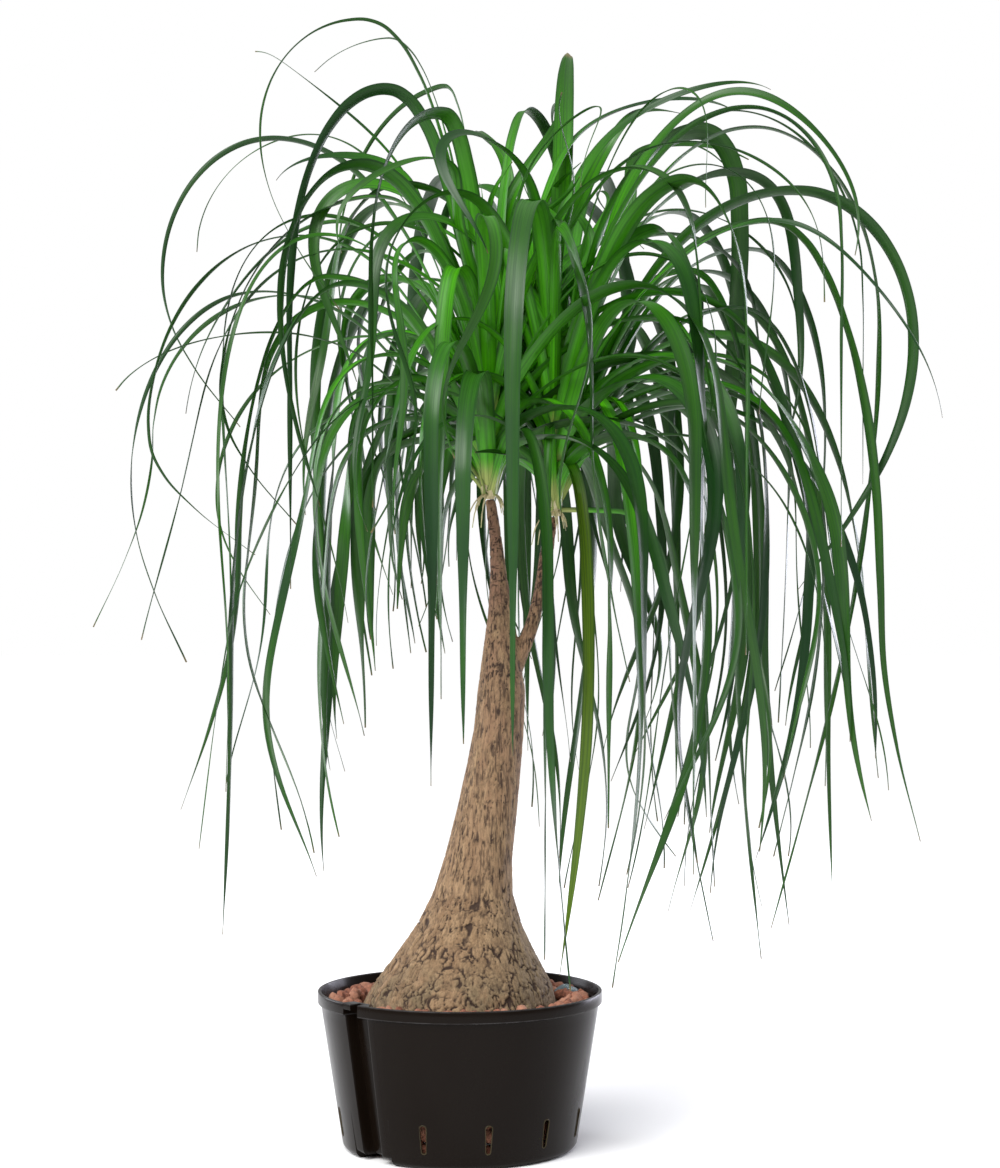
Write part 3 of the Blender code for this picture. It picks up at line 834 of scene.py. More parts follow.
    def slot_outline(self) -> list[tuple[float, float]]:
        """A root slot's outline: round ends, narrower below.

        Returns:
            Places across and up, mm.
        """
        low, high = self.slot_span
        turns = [math.radians(180.0 * index / 7.0) for index in range(8)]
        top = [(self.slot_width * 0.5 * math.cos(turn), high - 2.7 + 2.7 * math.sin(turn)) for turn in turns]
        narrow = self.slot_width * 0.36
        return top + [(-narrow * math.cos(turn), low + 2.0 - 2.0 * math.sin(turn)) for turn in turns]

    def slot_lips(self) -> bpy.types.Object:
        """The uneven moulded lip round every root slot, a little proud of the wall.

        Returns:
            All lips as one finished object.
        """
        random = np.random.default_rng(4)
        points, faces, sides = [], [], 6
        for turn in range(self.slot_pitch, 360, self.slot_pitch):
            azimuth = self.groove_azimuth + turn
            along = Vector(self.at(1.0, azimuth, 0.0)) / MM
            across = Vector((-along.y, along.x, 0.0))
            outline, start = self.slot_outline(), len(points)
            for wide, level in outline:
                radius = math.sqrt(self.wall_radius(level) ** 2 - wide**2) - 0.1
                middle = along * radius + across * wide + Vector((0.0, 0.0, level))
                flank = (across * wide + Vector((0.0, 0.0, (level - 23.0) * 0.25))).normalized()
                thick = random.uniform(0.35, 0.65)
                for side in range(sides):
                    angle = 2.0 * math.pi * side / sides
                    points.append((middle + (flank * math.cos(angle) + along * math.sin(angle)) * thick) * MM)
            for index in range(len(outline)):
                here, after = start + index * sides, start + (index + 1) % len(outline) * sides
                for side in range(sides):
                    beside = (side + 1) % sides
                    faces.append((here + side, here + beside, after + beside, after + side))
        lips = link_mesh("slot_lips", points, faces)
        finish_mesh(lips, 60.0)
        return lips

    def slot_cutter(self, azimuth: float) -> tuple[list, list]:
        """One root slot's round-ended cutting block.

        Args:
            azimuth: Direction of the slot, degrees.

        Returns:
            Its points in metres, and its faces.
        """
        along = Vector(self.at(1.0, azimuth, 0.0)) / MM
        across = Vector((-along.y, along.x, 0.0))
        outline = self.slot_outline()
        points = []
        for radius in (82.0, 104.0):
            for wide, level in outline:
                points.append((along * radius + across * wide + Vector((0.0, 0.0, level))) * MM)
        count = len(outline)
        faces = [tuple(range(count)), tuple(reversed(range(count, 2 * count)))]
        faces += [(i, (i + 1) % count, count + (i + 1) % count, count + i) for i in range(count)]
        return points, faces

    def build(self) -> None:
        """Make the pot, cut its slots and dress it."""
        pot = self.shell()
        pot.name = "culture_pot"
        points, faces = [], []
        for turn in range(self.slot_pitch, 360, self.slot_pitch):
            block, sides = self.slot_cutter(self.groove_azimuth + turn)
            faces += [tuple(len(points) + corner for corner in side) for side in sides]
            points += block
        cutter = link_mesh("slot_cutters", points, faces)
        cut = pot.modifiers.new("root_slots", "BOOLEAN")
        cut.operation = "DIFFERENCE"
        cut.solver = "EXACT"
        cut.object = cutter
        plain_mesh(pot)
        bpy.data.objects.remove(cutter, do_unlink=True)
        finish_mesh(pot, 32.0)
        pot.data.materials.clear()
        pot.data.materials.append(self.finish.make())
        place_piece(pot, Slot.POT, ["pot"])
        lips = self.slot_lips()
        # painted highlight: the lips take a lighter brown than the pot
        lips.data.materials.append(self.lip_highlight_finish.make())
        place_piece(lips, Slot.POT)


# ---- granules --------------------------------------------------------------------------------
@dataclass
class GranuleBed:
    """The fill of fired clay granules, scattered over a closed core."""

    core_inset: tuple[float, float] = (0.0105, 0.0050)
    granule_inset: tuple[float, float] = (0.0076, -0.0026)
    granule_radius: float = 0.0050
    spacing: float = 0.0066
    roughening: float = 0.0075     # how far a granule's surface is knocked out of round
    seed: int = 11
    finish: Finish = field(default_factory=lambda: FiredClay("clay_granules", 0.9))

    def tree(self) -> bpy.types.NodeTree:
        """The scatter: granules of random size and turn over a surface, knocked out of round.

        Returns:
            The geometry node tree.
        """
        kinds = {"Radius": "Float", "Spacing": "Float", "Roughness": "Float", "Seed": "Int",
                 "Clay": "Material"}
        tree = new_tree("granule_scatter", "Surface", kinds, "Bed")
        wires = Wires(tree)
        entry = wires.add("NodeGroupInput").outputs
        feeds = {"Mesh": entry["Surface"], "Distance Min": entry["Spacing"], "Density Max": 60000.0,
                 "Seed": entry["Seed"]}
        spots = wires.add("GeometryNodeDistributePointsOnFaces", feeds, distribute_method="POISSON")
        place = wires.add("GeometryNodeInputPosition").outputs[0]
        level = wires.add("ShaderNodeSeparateXYZ", {0: place}).outputs["Z"]
        top = wires.math("GREATER_THAN", level, 0.1)
        band = wires.times(wires.math("GREATER_THAN", level, 0.007), wires.math("LESS_THAN", level, 0.041))
        rest = wires.math("SUBTRACT", 1.0, wires.larger(top, band))
        feeds = {"Geometry": spots.outputs["Points"], "Selection": rest}
        kept = wires.add("GeometryNodeDeleteGeometry", feeds, domain="POINT")
        stone = wires.add("GeometryNodeMeshIcoSphere", {"Radius": entry["Radius"], "Subdivisions": 2})
        feeds = {"Max": (6.28, 6.28, 6.28), "Seed": 3}
        turn = wires.add("FunctionNodeRandomValue", feeds, data_type="FLOAT_VECTOR")
        feeds = {"Min": (0.72, 0.7, 0.6), "Max": (1.3, 1.12, 1.0), "Seed": 5}
        size = wires.add("FunctionNodeRandomValue", feeds, data_type="FLOAT_VECTOR")
        rotation = wires.add("FunctionNodeEulerToRotation", {0: turn.outputs[0]})
        placed = wires.add("GeometryNodeInstanceOnPoints", {
            "Points": kept.outputs[0], "Instance": stone.outputs["Mesh"],
            "Rotation": rotation.outputs[0], "Scale": size.outputs[0]})
        tone = wires.add("FunctionNodeRandomValue", {"Seed": 8}, data_type="FLOAT").outputs[1]
        feeds = {"Geometry": placed.outputs[0], "Name": "tone", "Value": tone}
        toned = wires.add("GeometryNodeStoreNamedAttribute", feeds, data_type="FLOAT", domain="INSTANCE")
        real = wires.add("GeometryNodeRealizeInstances", {"Geometry": toned.outputs[0]})
        coarse = wires.times(wires.math("SUBTRACT", wires.noise(place, 150.0, 1.0), 0.5), 1.0)
        fine = wires.times(wires.math("SUBTRACT", wires.noise(place, 480.0, 2.0), 0.5), 0.30)
        normal = wires.add("GeometryNodeInputNormal").outputs[0]
        push = wires.scaled(normal, wires.times(wires.plus(coarse, fine), entry["Roughness"]))
        knocked = wires.add("GeometryNodeSetPosition", {"Geometry": real.outputs[0], "Offset": push})
        smooth = wires.add("GeometryNodeSetShadeSmooth", {"Geometry": knocked.outputs[0]})
        feeds = {"Geometry": smooth.outputs[0], "Material": entry["Clay"]}
        done = wires.add("GeometryNodeSetMaterial", feeds)
        wires.add("NodeGroupOutput", {0: done.outputs[0]})
        return tree

    def build(self) -> None:
        """Make the core and its granules as one piece."""
        clay = self.finish.make()
        core = merged_copy("granulate", "granule_core")
        self.inset(core.data, *self.core_inset)
        core.data.materials.append(clay)
        bed = merged_copy("granulate", "clay_granules")
        self.inset(bed.data, *self.granule_inset)
        inputs = {"Radius": self.granule_radius, "Spacing": self.spacing, "Roughness": self.roughening,
                  "Seed": self.seed, "Clay": clay}
        run_tree(bed, self.tree(), inputs)
        plain_mesh(bed)
        join_into(bed, core)
        place_piece(bed, Slot.GRANULES, ["granulate"])
        self.add_pebble()

    @staticmethod
    def inset(mesh: bpy.types.Mesh, sideways: float, down: float) -> None:
        """Draw a closed mesh in from its walls and from its top.

        Args:
            mesh: The mesh to change.
            sideways: How far the walls move in.
            down: How far the top moves down.
        """
        mesh.update()
        normals = [vertex.normal.copy() for vertex in mesh.vertices]
        for vertex, normal in zip(mesh.vertices, normals):
            flat = Vector((normal.x, normal.y, 0.0))
            if flat.length > 0.25:
                vertex.co -= flat.normalized() * sideways
            if normal.z > 0.25:
                vertex.co.z -= down

    def add_pebble(self) -> None:
        """The one grey pebble that lies behind the trunk's foot."""
        shape = bmesh.new()
        bmesh.ops.create_icosphere(shape, subdivisions=3, radius=1.0)
        for corner in shape.verts:
            rough = 1.0 + 0.08 * math.sin(5.0 * corner.co.x + 2.0) + 0.06 * math.sin(7.0 * corner.co.y)
            corner.co = Vector((corner.co.x * 0.0095, corner.co.y * 0.008, corner.co.z * 0.006)) * rough
            corner.co += Vector((0.083, 0.030, 0.1135))
        mesh = bpy.data.meshes.new("grey_pebble")
        shape.to_mesh(mesh)
        shape.free()
        pebble = bpy.data.objects.new("grey_pebble", mesh)
        bpy.context.scene.collection.objects.link(pebble)
        finish_mesh(pebble, 180.0)
        mesh.materials.append(GreyStone("grey_stone", 0.6).make())
        place_piece(pebble, Slot.GRANULES)


def run_tree(made: bpy.types.Object, tree: bpy.types.NodeTree, inputs: dict[str, Feed]) -> None:
    """Give an object a node tree and set the tree's named inputs.

    Args:
        made: The object.
        tree: The geometry node tree.
        inputs: Values by the names of the tree's inputs.
    """
    modifier = made.modifiers.new(tree.name, "NODES")
    modifier.node_group = tree
    sockets = {item.name: item.identifier for item in tree.interface.items_tree if item.in_out == "INPUT"}
    for name, value in inputs.items():
        modifier[sockets[name]] = value


def join_into(kept: bpy.types.Object, other: bpy.types.Object) -> None:
    """Add one object's mesh to another's.

    Args:
        kept: The object that takes the mesh.
        other: The object that is dropped.
    """
    shape = bmesh.new()
    shape.from_mesh(kept.data)
    shape.from_mesh(other.data)
    shape.to_mesh(kept.data)
    shape.free()
    bpy.data.objects.remove(other, do_unlink=True)


# ---- trunk -----------------------------------------------------------------------------------
@dataclass
class Trunk:
    """The swollen caudex and forked stem, with corky plates cut by fissures."""

    voxel: float = 0.00124
    smoothing: int = 22
    plate: float = 0.0056          # across one plate at the foot
    small_plate: float = 0.0027
    seed: int = 5
    finish: Finish = field(default_factory=lambda: CorkyBark("bark", 0.85))

    def skin(self) -> bpy.types.Object:
        """An even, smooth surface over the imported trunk.

        Returns:
            The new object.
        """
        trunk = merged_copy("trunk", "palm_trunk")
        even = trunk.modifiers.new("even", "REMESH")
        even.mode = "VOXEL"
        even.voxel_size = self.voxel
        relax = trunk.modifiers.new("relax", "SMOOTH")
        relax.factor = 0.5
        relax.iterations = self.smoothing
        return plain_mesh(trunk)

    @staticmethod
    def stretched(points: np.ndarray, size: float) -> np.ndarray:
        """Places on the bark in plate units: plates are squat at the foot and long up the stem.

        Args:
            points: Surface positions in metres.
            size: Across one plate at the foot, metres.

        Returns:
            Positions whose unit is one plate.
        """
        levels = np.linspace(0.05, 0.54, 240)
        shortness = np.interp(levels, (0.11, 0.12, 0.14, 0.20, 0.30, 0.42, 0.50),
                              (0.85, 0.62, 0.42, 0.24, 0.20, 0.45, 1.1))
        climbed = np.cumsum(shortness) * (levels[1] - levels[0])
        slimness = np.interp(points[:, 2], (0.11, 0.15, 0.21, 0.30, 0.50), (1.0, 1.05, 1.45, 1.9, 2.3))
        axis = np.interp(points[:, 2], (0.12, 0.22, 0.35, 0.50), (0.001, 0.0145, 0.0318, 0.0236))
        swirl = (points[:, 2] - 0.2) * 1.5
        flat_x, flat_y = points[:, 0] - axis, points[:, 1]
        turned_x = flat_x * np.cos(swirl) - flat_y * np.sin(swirl)
        turned_y = flat_x * np.sin(swirl) + flat_y * np.cos(swirl)
        rise = np.interp(points[:, 2], levels, climbed)
        cells = np.stack([turned_x * slimness, turned_y * slimness, rise], axis=1) / size
        return cells + 0.22 * np.sin(points * 420.0 + np.roll(points, 1, axis=1) * 260.0)

    def plates(self, cells: np.ndarray,
               random: np.random.Generator) -> tuple[np.ndarray, np.ndarray, np.ndarray]:
        """Where each point lies among the plates.

        Args:
            cells: Positions in plate units.
            random: The source of chance.

        Returns:
            The distance to the plate's edge, how upright that edge is, and the plate's tone.
        """
        low, high = cells.min(axis=0) - 1.5, cells.max(axis=0) + 1.5
        spans = [np.arange(start, end, 1.0) for start, end in zip(low, high)]
        grid = np.stack(np.meshgrid(*spans, indexing="ij"), axis=-1).reshape(-1, 3)
        grid += random.uniform(-0.45, 0.45, grid.shape)
        taken = {tuple(cell) for cell in np.floor(cells / 2.0).astype(int)}
        around = [(i, j, k) for i in (-1, 0, 1) for j in (-1, 0, 1) for k in (-1, 0, 1)]
        near = {(a + i, b + j, c + k) for a, b, c in taken for i, j, k in around}
        seeds = [seed for seed in grid if tuple(np.floor(seed / 2.0).astype(int)) in near]
        tree = KDTree(len(seeds))
        for index, seed in enumerate(seeds):
            tree.insert(seed, index)
        tree.balance()
        tones = random.uniform(0.0, 1.0, len(seeds))
        edge, upright, tone = (np.zeros(len(cells)) for _ in range(3))
        for index, cell in enumerate(cells):
            (first, near_index, near_gap), (second, _, far_gap) = tree.find_n(cell, 2)
            away = second - first
            edge[index] = far_gap - near_gap
            upright[index] = math.hypot(away.x, away.y) / max(away.length, 1e-6)
            tone[index] = tones[near_index]
        return edge, upright, tone

    @staticmethod
    def patches(points: np.ndarray, pitch: float) -> np.ndarray:
        """Slow waves from 0 to 1 over the surface.

        Args:
            points: Surface positions, metres.
            pitch: About how far the waves lie apart, metres.

        Returns:
            A share for each point.
        """
        turn = points * (2.0 * math.pi / pitch)
        wave = np.sin(turn[:, 0] + 1.7 * np.sin(turn[:, 2] * 0.6))
        wave = wave + np.sin(turn[:, 1] * 0.9 + 1.3 * np.sin(turn[:, 0] * 0.7))
        return 0.5 + 0.25 * (wave * 0.6 + 0.8 * np.sin(turn[:, 2] * 0.8 + 2.0 * np.sin(turn[:, 1] * 0.5)))

    def bark(self, mesh: bpy.types.Mesh) -> None:
        """Push the plates out, sink the fissures between them, and store both for the finish.

        Args:
            mesh: The trunk's mesh.
        """
        random = np.random.default_rng(self.seed)
        count = len(mesh.vertices)
        points, normals = np.zeros(count * 3), np.zeros(count * 3)
        mesh.vertices.foreach_get("co", points)
        mesh.vertices.foreach_get("normal", normals)
        points, normals = points.reshape(-1, 3), normals.reshape(-1, 3)
        heights = points[:, 2]
        edge, upright, tone = self.plates(self.stretched(points, self.plate), random)
        fine_edge, fine_upright, fine_tone = self.plates(self.stretched(points, self.small_plate), random)
        open_share = smooth_step((self.patches(points, 0.019) - 0.22) / 0.45)
        width = 0.09 + 0.15 * self.patches(points, 0.031)
        leaning = np.interp(heights, (0.115, 0.15, 0.22, 0.40, 0.47), (0.42, 0.26, 0.10, 0.2, 0.9))
        crack = (1.0 - smooth_step(edge / width)) * (leaning + (1.0 - leaning) * upright**2)
        crack *= 0.25 + 0.75 * open_share
        crack *= np.interp(heights, (0.16, 0.24, 0.34, 0.40), (1.0, 0.5, 0.55, 0.9))
        fine = (1.0 - smooth_step(fine_edge / 0.3)) * (0.3 + 0.7 * fine_upright**2)
        fine *= smooth_step((self.patches(points + 0.013, 0.011) - 0.35) / 0.4)
        depth = np.interp(heights, (0.10, 0.13, 0.22, 0.30, 0.50), (0.0017, 0.0021, 0.0012, 0.0009, 0.0006))
        push = depth * (0.22 * tone + 0.20 * fine_tone - 1.15 * crack - 0.35 * fine)
        points += normals * push[:, None]
        mesh.vertices.foreach_set("co", points.ravel())
        fissure = np.clip(crack + 0.42 * fine, 0.0, 1.0)
        for name, values in (("fissure", fissure), ("tone", 0.6 * tone + 0.4 * fine_tone)):
            layer = mesh.attributes.new(name, "FLOAT", "POINT")
            layer.data.foreach_set("value", values.astype(np.float32))
        mesh.update()

    def build(self) -> None:
        """Make the trunk and dress it."""
        trunk = self.skin()
        self.bark(trunk.data)
        finish_mesh(trunk, 180.0)
        trunk.data.materials.append(self.finish.make())
        place_piece(trunk, Slot.BARK, ["trunk"])


# ---- leaves ----------------------------------------------------------------------------------
@dataclass
class Spine:
    """The middle line of one leaf, with what its blade needs at every station."""

    points: np.ndarray         # stations, metres
    level: np.ndarray          # the level direction across the blade before it rolls
    full_width: float          # metres
    youth: float               # 0 oldest, 1 youngest
    tone: float
    roll_top: float = 0.0      # degrees of roll taken up on the way to the top of the arc
    roll_tip: float = 0.0      # further roll taken up on the way to the tip
    blunt: bool = False        # a leaf whose end is worn off square

    def columns(self, base_share: float) -> dict[str, np.ndarray]:
        """What the blade tree reads at every station.

        Args:
            base_share: Width at the base as a share of the full width.

        Returns:
            Named columns, one row for each station.
        """
        forward = unit(np.gradient(self.points, axis=0))
        across = unit(self.level - forward * (forward @ self.level)[:, None])
        face = np.cross(forward, across)
        steps = np.linalg.norm(np.diff(self.points, axis=0), axis=1)
        reach = np.concatenate(([0.0], np.cumsum(steps)))
        share = reach / reach[-1]
        roll = np.radians(self.roll_top) * smooth_step((reach - 0.05) / 0.16)
        roll = roll + np.radians(self.roll_tip) * smooth_step((share - 0.35) / 0.5)
        turn_cos, turn_sin = np.cos(roll)[:, None], np.sin(roll)[:, None]
        spread = base_share + (1.0 - base_share) * smooth_step(reach / 0.09)
        power, end = (2.6, 0.9) if self.full_width > 0.009 else (1.8, 1.0)
        if self.blunt:
            power, end = 9.0, 0.3
        narrowing = np.maximum(1.0 - share**power, 0.0) ** end
        half = np.maximum(self.full_width * 0.5 * spread * narrowing, 0.0003)
        fold = 0.75 - 0.5 * smooth_step(reach / 0.24) + 0.10 * np.sin(reach * 25.0 + self.tone * 9.0)
        count = len(reach)
        return {
            "across": across * turn_cos + face * turn_sin, "face": face * turn_cos - across * turn_sin,
            "half_width": half, "fold": fold, "reach": reach, "tip": share,
            "youth": np.full(count, self.youth), "tone": np.full(count, self.tone),
        }


class BladeTree:
    """The node tree that sweeps a folded, rippled leaf blade along every spine."""

    COLUMNS = ("across", "face", "half_width", "fold", "reach", "tip", "youth", "tone")
    WORKING = ("across", "face", "fold", "middle")
    SECTION_POINTS = 12
    RIPPLE_TURNS = 46.0        # radians of the edges' wave in a metre of leaf

    def __init__(self) -> None:
        """Build the tree once; every leaf piece uses it."""
        kinds = {"Section points": "Int", "Thickness": "Float", "Ripple height": "Float",
                 "Ripple turns": "Float", "Leaf": "Material"}
        self.tree = new_tree("leaf_blades", "Spines", kinds, "Blades")
        self.wire(Wires(self.tree))

    @staticmethod
    def named(wires: Wires, name: str, kind: str) -> Socket:
        """Read one named attribute."""
        node = wires.add("GeometryNodeInputNamedAttribute", {"Name": name}, data_type=kind)
        return node.outputs["Attribute"]

    def wire(self, wires: Wires) -> None:
        """Sweep a round section, then lay its points out as a thin folded strap.

        Args:
            wires: Adds nodes to the tree.
        """
        entry = wires.add("NodeGroupInput").outputs
        place = wires.add("GeometryNodeInputPosition").outputs[0]
        spines = wires.add("GeometryNodeMeshToCurve", {"Mesh": entry["Spines"]})
        feeds = {"Geometry": spines.outputs[0], "Name": "middle", "Value": place}
        kept = wires.add("GeometryNodeStoreNamedAttribute", feeds, data_type="FLOAT_VECTOR")
        feeds = {"Resolution": entry["Section points"], "Radius": 1.0}
        ring = wires.add("GeometryNodeCurvePrimitiveCircle", feeds)
        feeds = {"Geometry": ring.outputs[0], "Name": "section", "Value": place}
        section = wires.add("GeometryNodeStoreNamedAttribute", feeds, data_type="FLOAT_VECTOR")
        swept = wires.add("GeometryNodeCurveToMesh", {
            "Curve": kept.outputs[0], "Profile Curve": section.outputs[0], "Fill Caps": True})
        split = wires.add("ShaderNodeSeparateXYZ", {0: self.named(wires, "section", "FLOAT_VECTOR")})
        wide, deep = split.outputs["X"], split.outputs["Y"]
        half = self.named(wires, "half_width", "FLOAT")
        bend = wires.math("POWER", wires.math("ABSOLUTE", wide), 1.35)
        channel = wires.times(wires.times(bend, self.named(wires, "fold", "FLOAT")), half)
        turns = wires.times(self.named(wires, "reach", "FLOAT"), entry["Ripple turns"])
        start = wires.times(self.named(wires, "tone", "FLOAT"), 30.0)
        wave = wires.math("SINE", wires.plus(turns, start))
        ripple = wires.times(wires.times(wave, wide), entry["Ripple height"])
        skin = wires.times(deep, wires.times(entry["Thickness"], 0.5))
        lift = wires.plus(wires.plus(channel, ripple), skin)
        sideways = wires.scaled(self.named(wires, "across", "FLOAT_VECTOR"), wires.times(wide, half))
        upwards = wires.scaled(self.named(wires, "face", "FLOAT_VECTOR"), lift)
        moved = wires.vector("ADD", sideways, upwards)
        laid = wires.vector("ADD", self.named(wires, "middle", "FLOAT_VECTOR"), moved)
        blades = wires.add("GeometryNodeSetPosition", {"Geometry": swept.outputs[0], "Position": laid})
        real = wires.add("GeometryNodeRealizeInstances", {"Geometry": blades.outputs[0]})
        done = wires.add("GeometryNodeSetMaterial", {"Geometry": real.outputs[0], "Material": entry["Leaf"]})
        wires.add("NodeGroupOutput", {0: done.outputs[0]})

    def sweep(self, name: str, spines: Sequence[Spine], leaf: bpy.types.Material, thickness: float = 0.0008,
              ripple: float = 0.0005, base_share: float = 0.85) -> bpy.types.Object:
        """Make one piece of one or more blades.

        Args:
            name: The piece's name.
            spines: The leaves' middle lines.
            leaf: The finish.
            thickness: Of the blade's middle, metres.
            ripple: Height of the edges' waves, metres.
            base_share: Width at the base as a share of the full width.

        Returns:
            The finished mesh object.
        """
        mesh = bpy.data.meshes.new(name)
        points = np.concatenate([spine.points for spine in spines])
        edges, start = [], 0
        for spine in spines:
            edges += [(start + step, start + step + 1) for step in range(len(spine.points) - 1)]
            start += len(spine.points)
        mesh.from_pydata(points.tolist(), edges, [])
        tables = [spine.columns(base_share) for spine in spines]
        for column in self.COLUMNS:
            values = np.concatenate([table[column] for table in tables])
            kind = "FLOAT_VECTOR" if values.ndim == 2 else "FLOAT"
            layer = mesh.attributes.new(column, kind, "POINT")
            content = "vector" if values.ndim == 2 else "value"
            layer.data.foreach_set(content, values.ravel().astype(np.float32))
        made = bpy.data.objects.new(name, mesh)
        bpy.context.scene.collection.objects.link(made)
        inputs = {"Section points": self.SECTION_POINTS, "Thickness": thickness, "Ripple height": ripple,
                  "Ripple turns": self.RIPPLE_TURNS, "Leaf": leaf}
        run_tree(made, self.tree, inputs)
        plain_mesh(made)
        for column in self.WORKING:
            layer = made.data.attributes.get(column)
            if layer:
                made.data.attributes.remove(layer)
        turn_outwards(made.data)
        finish_mesh(made, 55.0)
        return made


def resampled(points: np.ndarray, count: int) -> np.ndarray:
    """A smooth curve through points, read at even distances that tighten where it bends.

    Args:
        points: Rows of positions.
        count: How many stations to return.

    Returns:
        The stations.
    """
    steps = np.linalg.norm(np.diff(points, axis=0), axis=1)
    along = np.concatenate(([0.0], np.cumsum(steps)))
    slopes = np.gradient(points, along, axis=0)
    fine = np.linspace(0.0, along[-1], 400)
    cell = np.clip(np.searchsorted(along, fine, side="right") - 1, 0, len(steps) - 1)
    span = steps[cell][:, None]
    share = ((fine - along[cell])[:, None]) / span
    square, cube = share**2, share**3
    curve = (2 * cube - 3 * square + 1) * points[cell] + (cube - 2 * square + share) * span * slopes[cell]
    curve += (3 * square - 2 * cube) * points[cell + 1] + (cube - square) * span * slopes[cell + 1]
    pieces = np.diff(curve, axis=0)
    lengths = np.linalg.norm(pieces, axis=1)
    heading = unit(pieces)
    bends = np.concatenate(([0.0], np.arccos(np.clip(np.sum(heading[1:] * heading[:-1], axis=1), -1.0, 1.0))))
    weight = np.concatenate(([0.0], np.cumsum(lengths / 0.05 + bends / 0.25)))
    picked = np.linspace(0.0, weight[-1], count)
    return np.stack([np.interp(picked, weight, curve[:, axis]) for axis in range(3)], axis=1)


@dataclass
class NodeLeaf:
    """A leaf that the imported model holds: its middle line is read from the node's own mesh."""

    node: str

    def rings(self) -> list[np.ndarray]:
        """The strap's rings of corners, from the crown to the tip.

        Returns:
            The corners of each ring, metres.
        """
        shape = bmesh.new()
        shape.from_mesh(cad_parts[self.node].data)
        bmesh.ops.remove_doubles(shape, verts=shape.verts, dist=2e-6)
        shape.verts.ensure_lookup_table()
        head = np.array(CROWNS[Head(self.node.split("_")[0])].head)
        corners = list(shape.verts)
        near = [corner for corner in corners if -0.02 < corner.co.z - head[2] < 0.09]
        first = min(near, key=lambda corner: math.dist(corner.co[:2], head[:2]) + 0.3 * corner.co.z)
        ring = sorted(corners, key=lambda corner: (corner.co - first.co).length)[:4]
        seen = set(ring)
        rings = []
        while ring:
            rings.append(np.array([corner.co for corner in ring]))
            after = {edge.other_vert(corner) for corner in ring for edge in corner.link_edges} - seen
            seen |= after
            ring = sorted(after, key=lambda corner: corner.index)
        shape.free()
        return rings

    def spine(self, habit: "Habit", stations: int) -> Spine:
        """The leaf's middle line with its width, age and roll.

        Args:
            habit: How the leaf carries its blade.
            stations: How many stations the line has.

        Returns:
            The spine.
        """
        rings = self.rings()
        middles = np.array([ring.mean(axis=0) for ring in rings])
        widths = [max(np.linalg.norm(one - other) for one in ring for other in ring) for ring in rings]
        crown = CROWNS[Head(self.node.split("_")[0])]
        outward = middles[len(middles) // 2] - np.array(crown.head)
        level = unit(np.array((-outward[1], outward[0], 0.0)))
        youth = float(np.clip((middles[0][2] - crown.head[2]) / crown.heart_height + 0.25, 0.0, 1.0))
        far_left_share = np.interp(middles[:, 0].min(), (-0.25, -0.12), (0.62, 1.0))
        slimming = habit.width * far_left_share
        tone = 1.5 if habit.olive else (sum(ord(letter) for letter in self.node) * 0.618) % 1.0
        return Spine(resampled(middles, stations), level, max(widths) * slimming, youth, tone, habit.roll_top,
                     habit.roll_tip, habit.blunt)


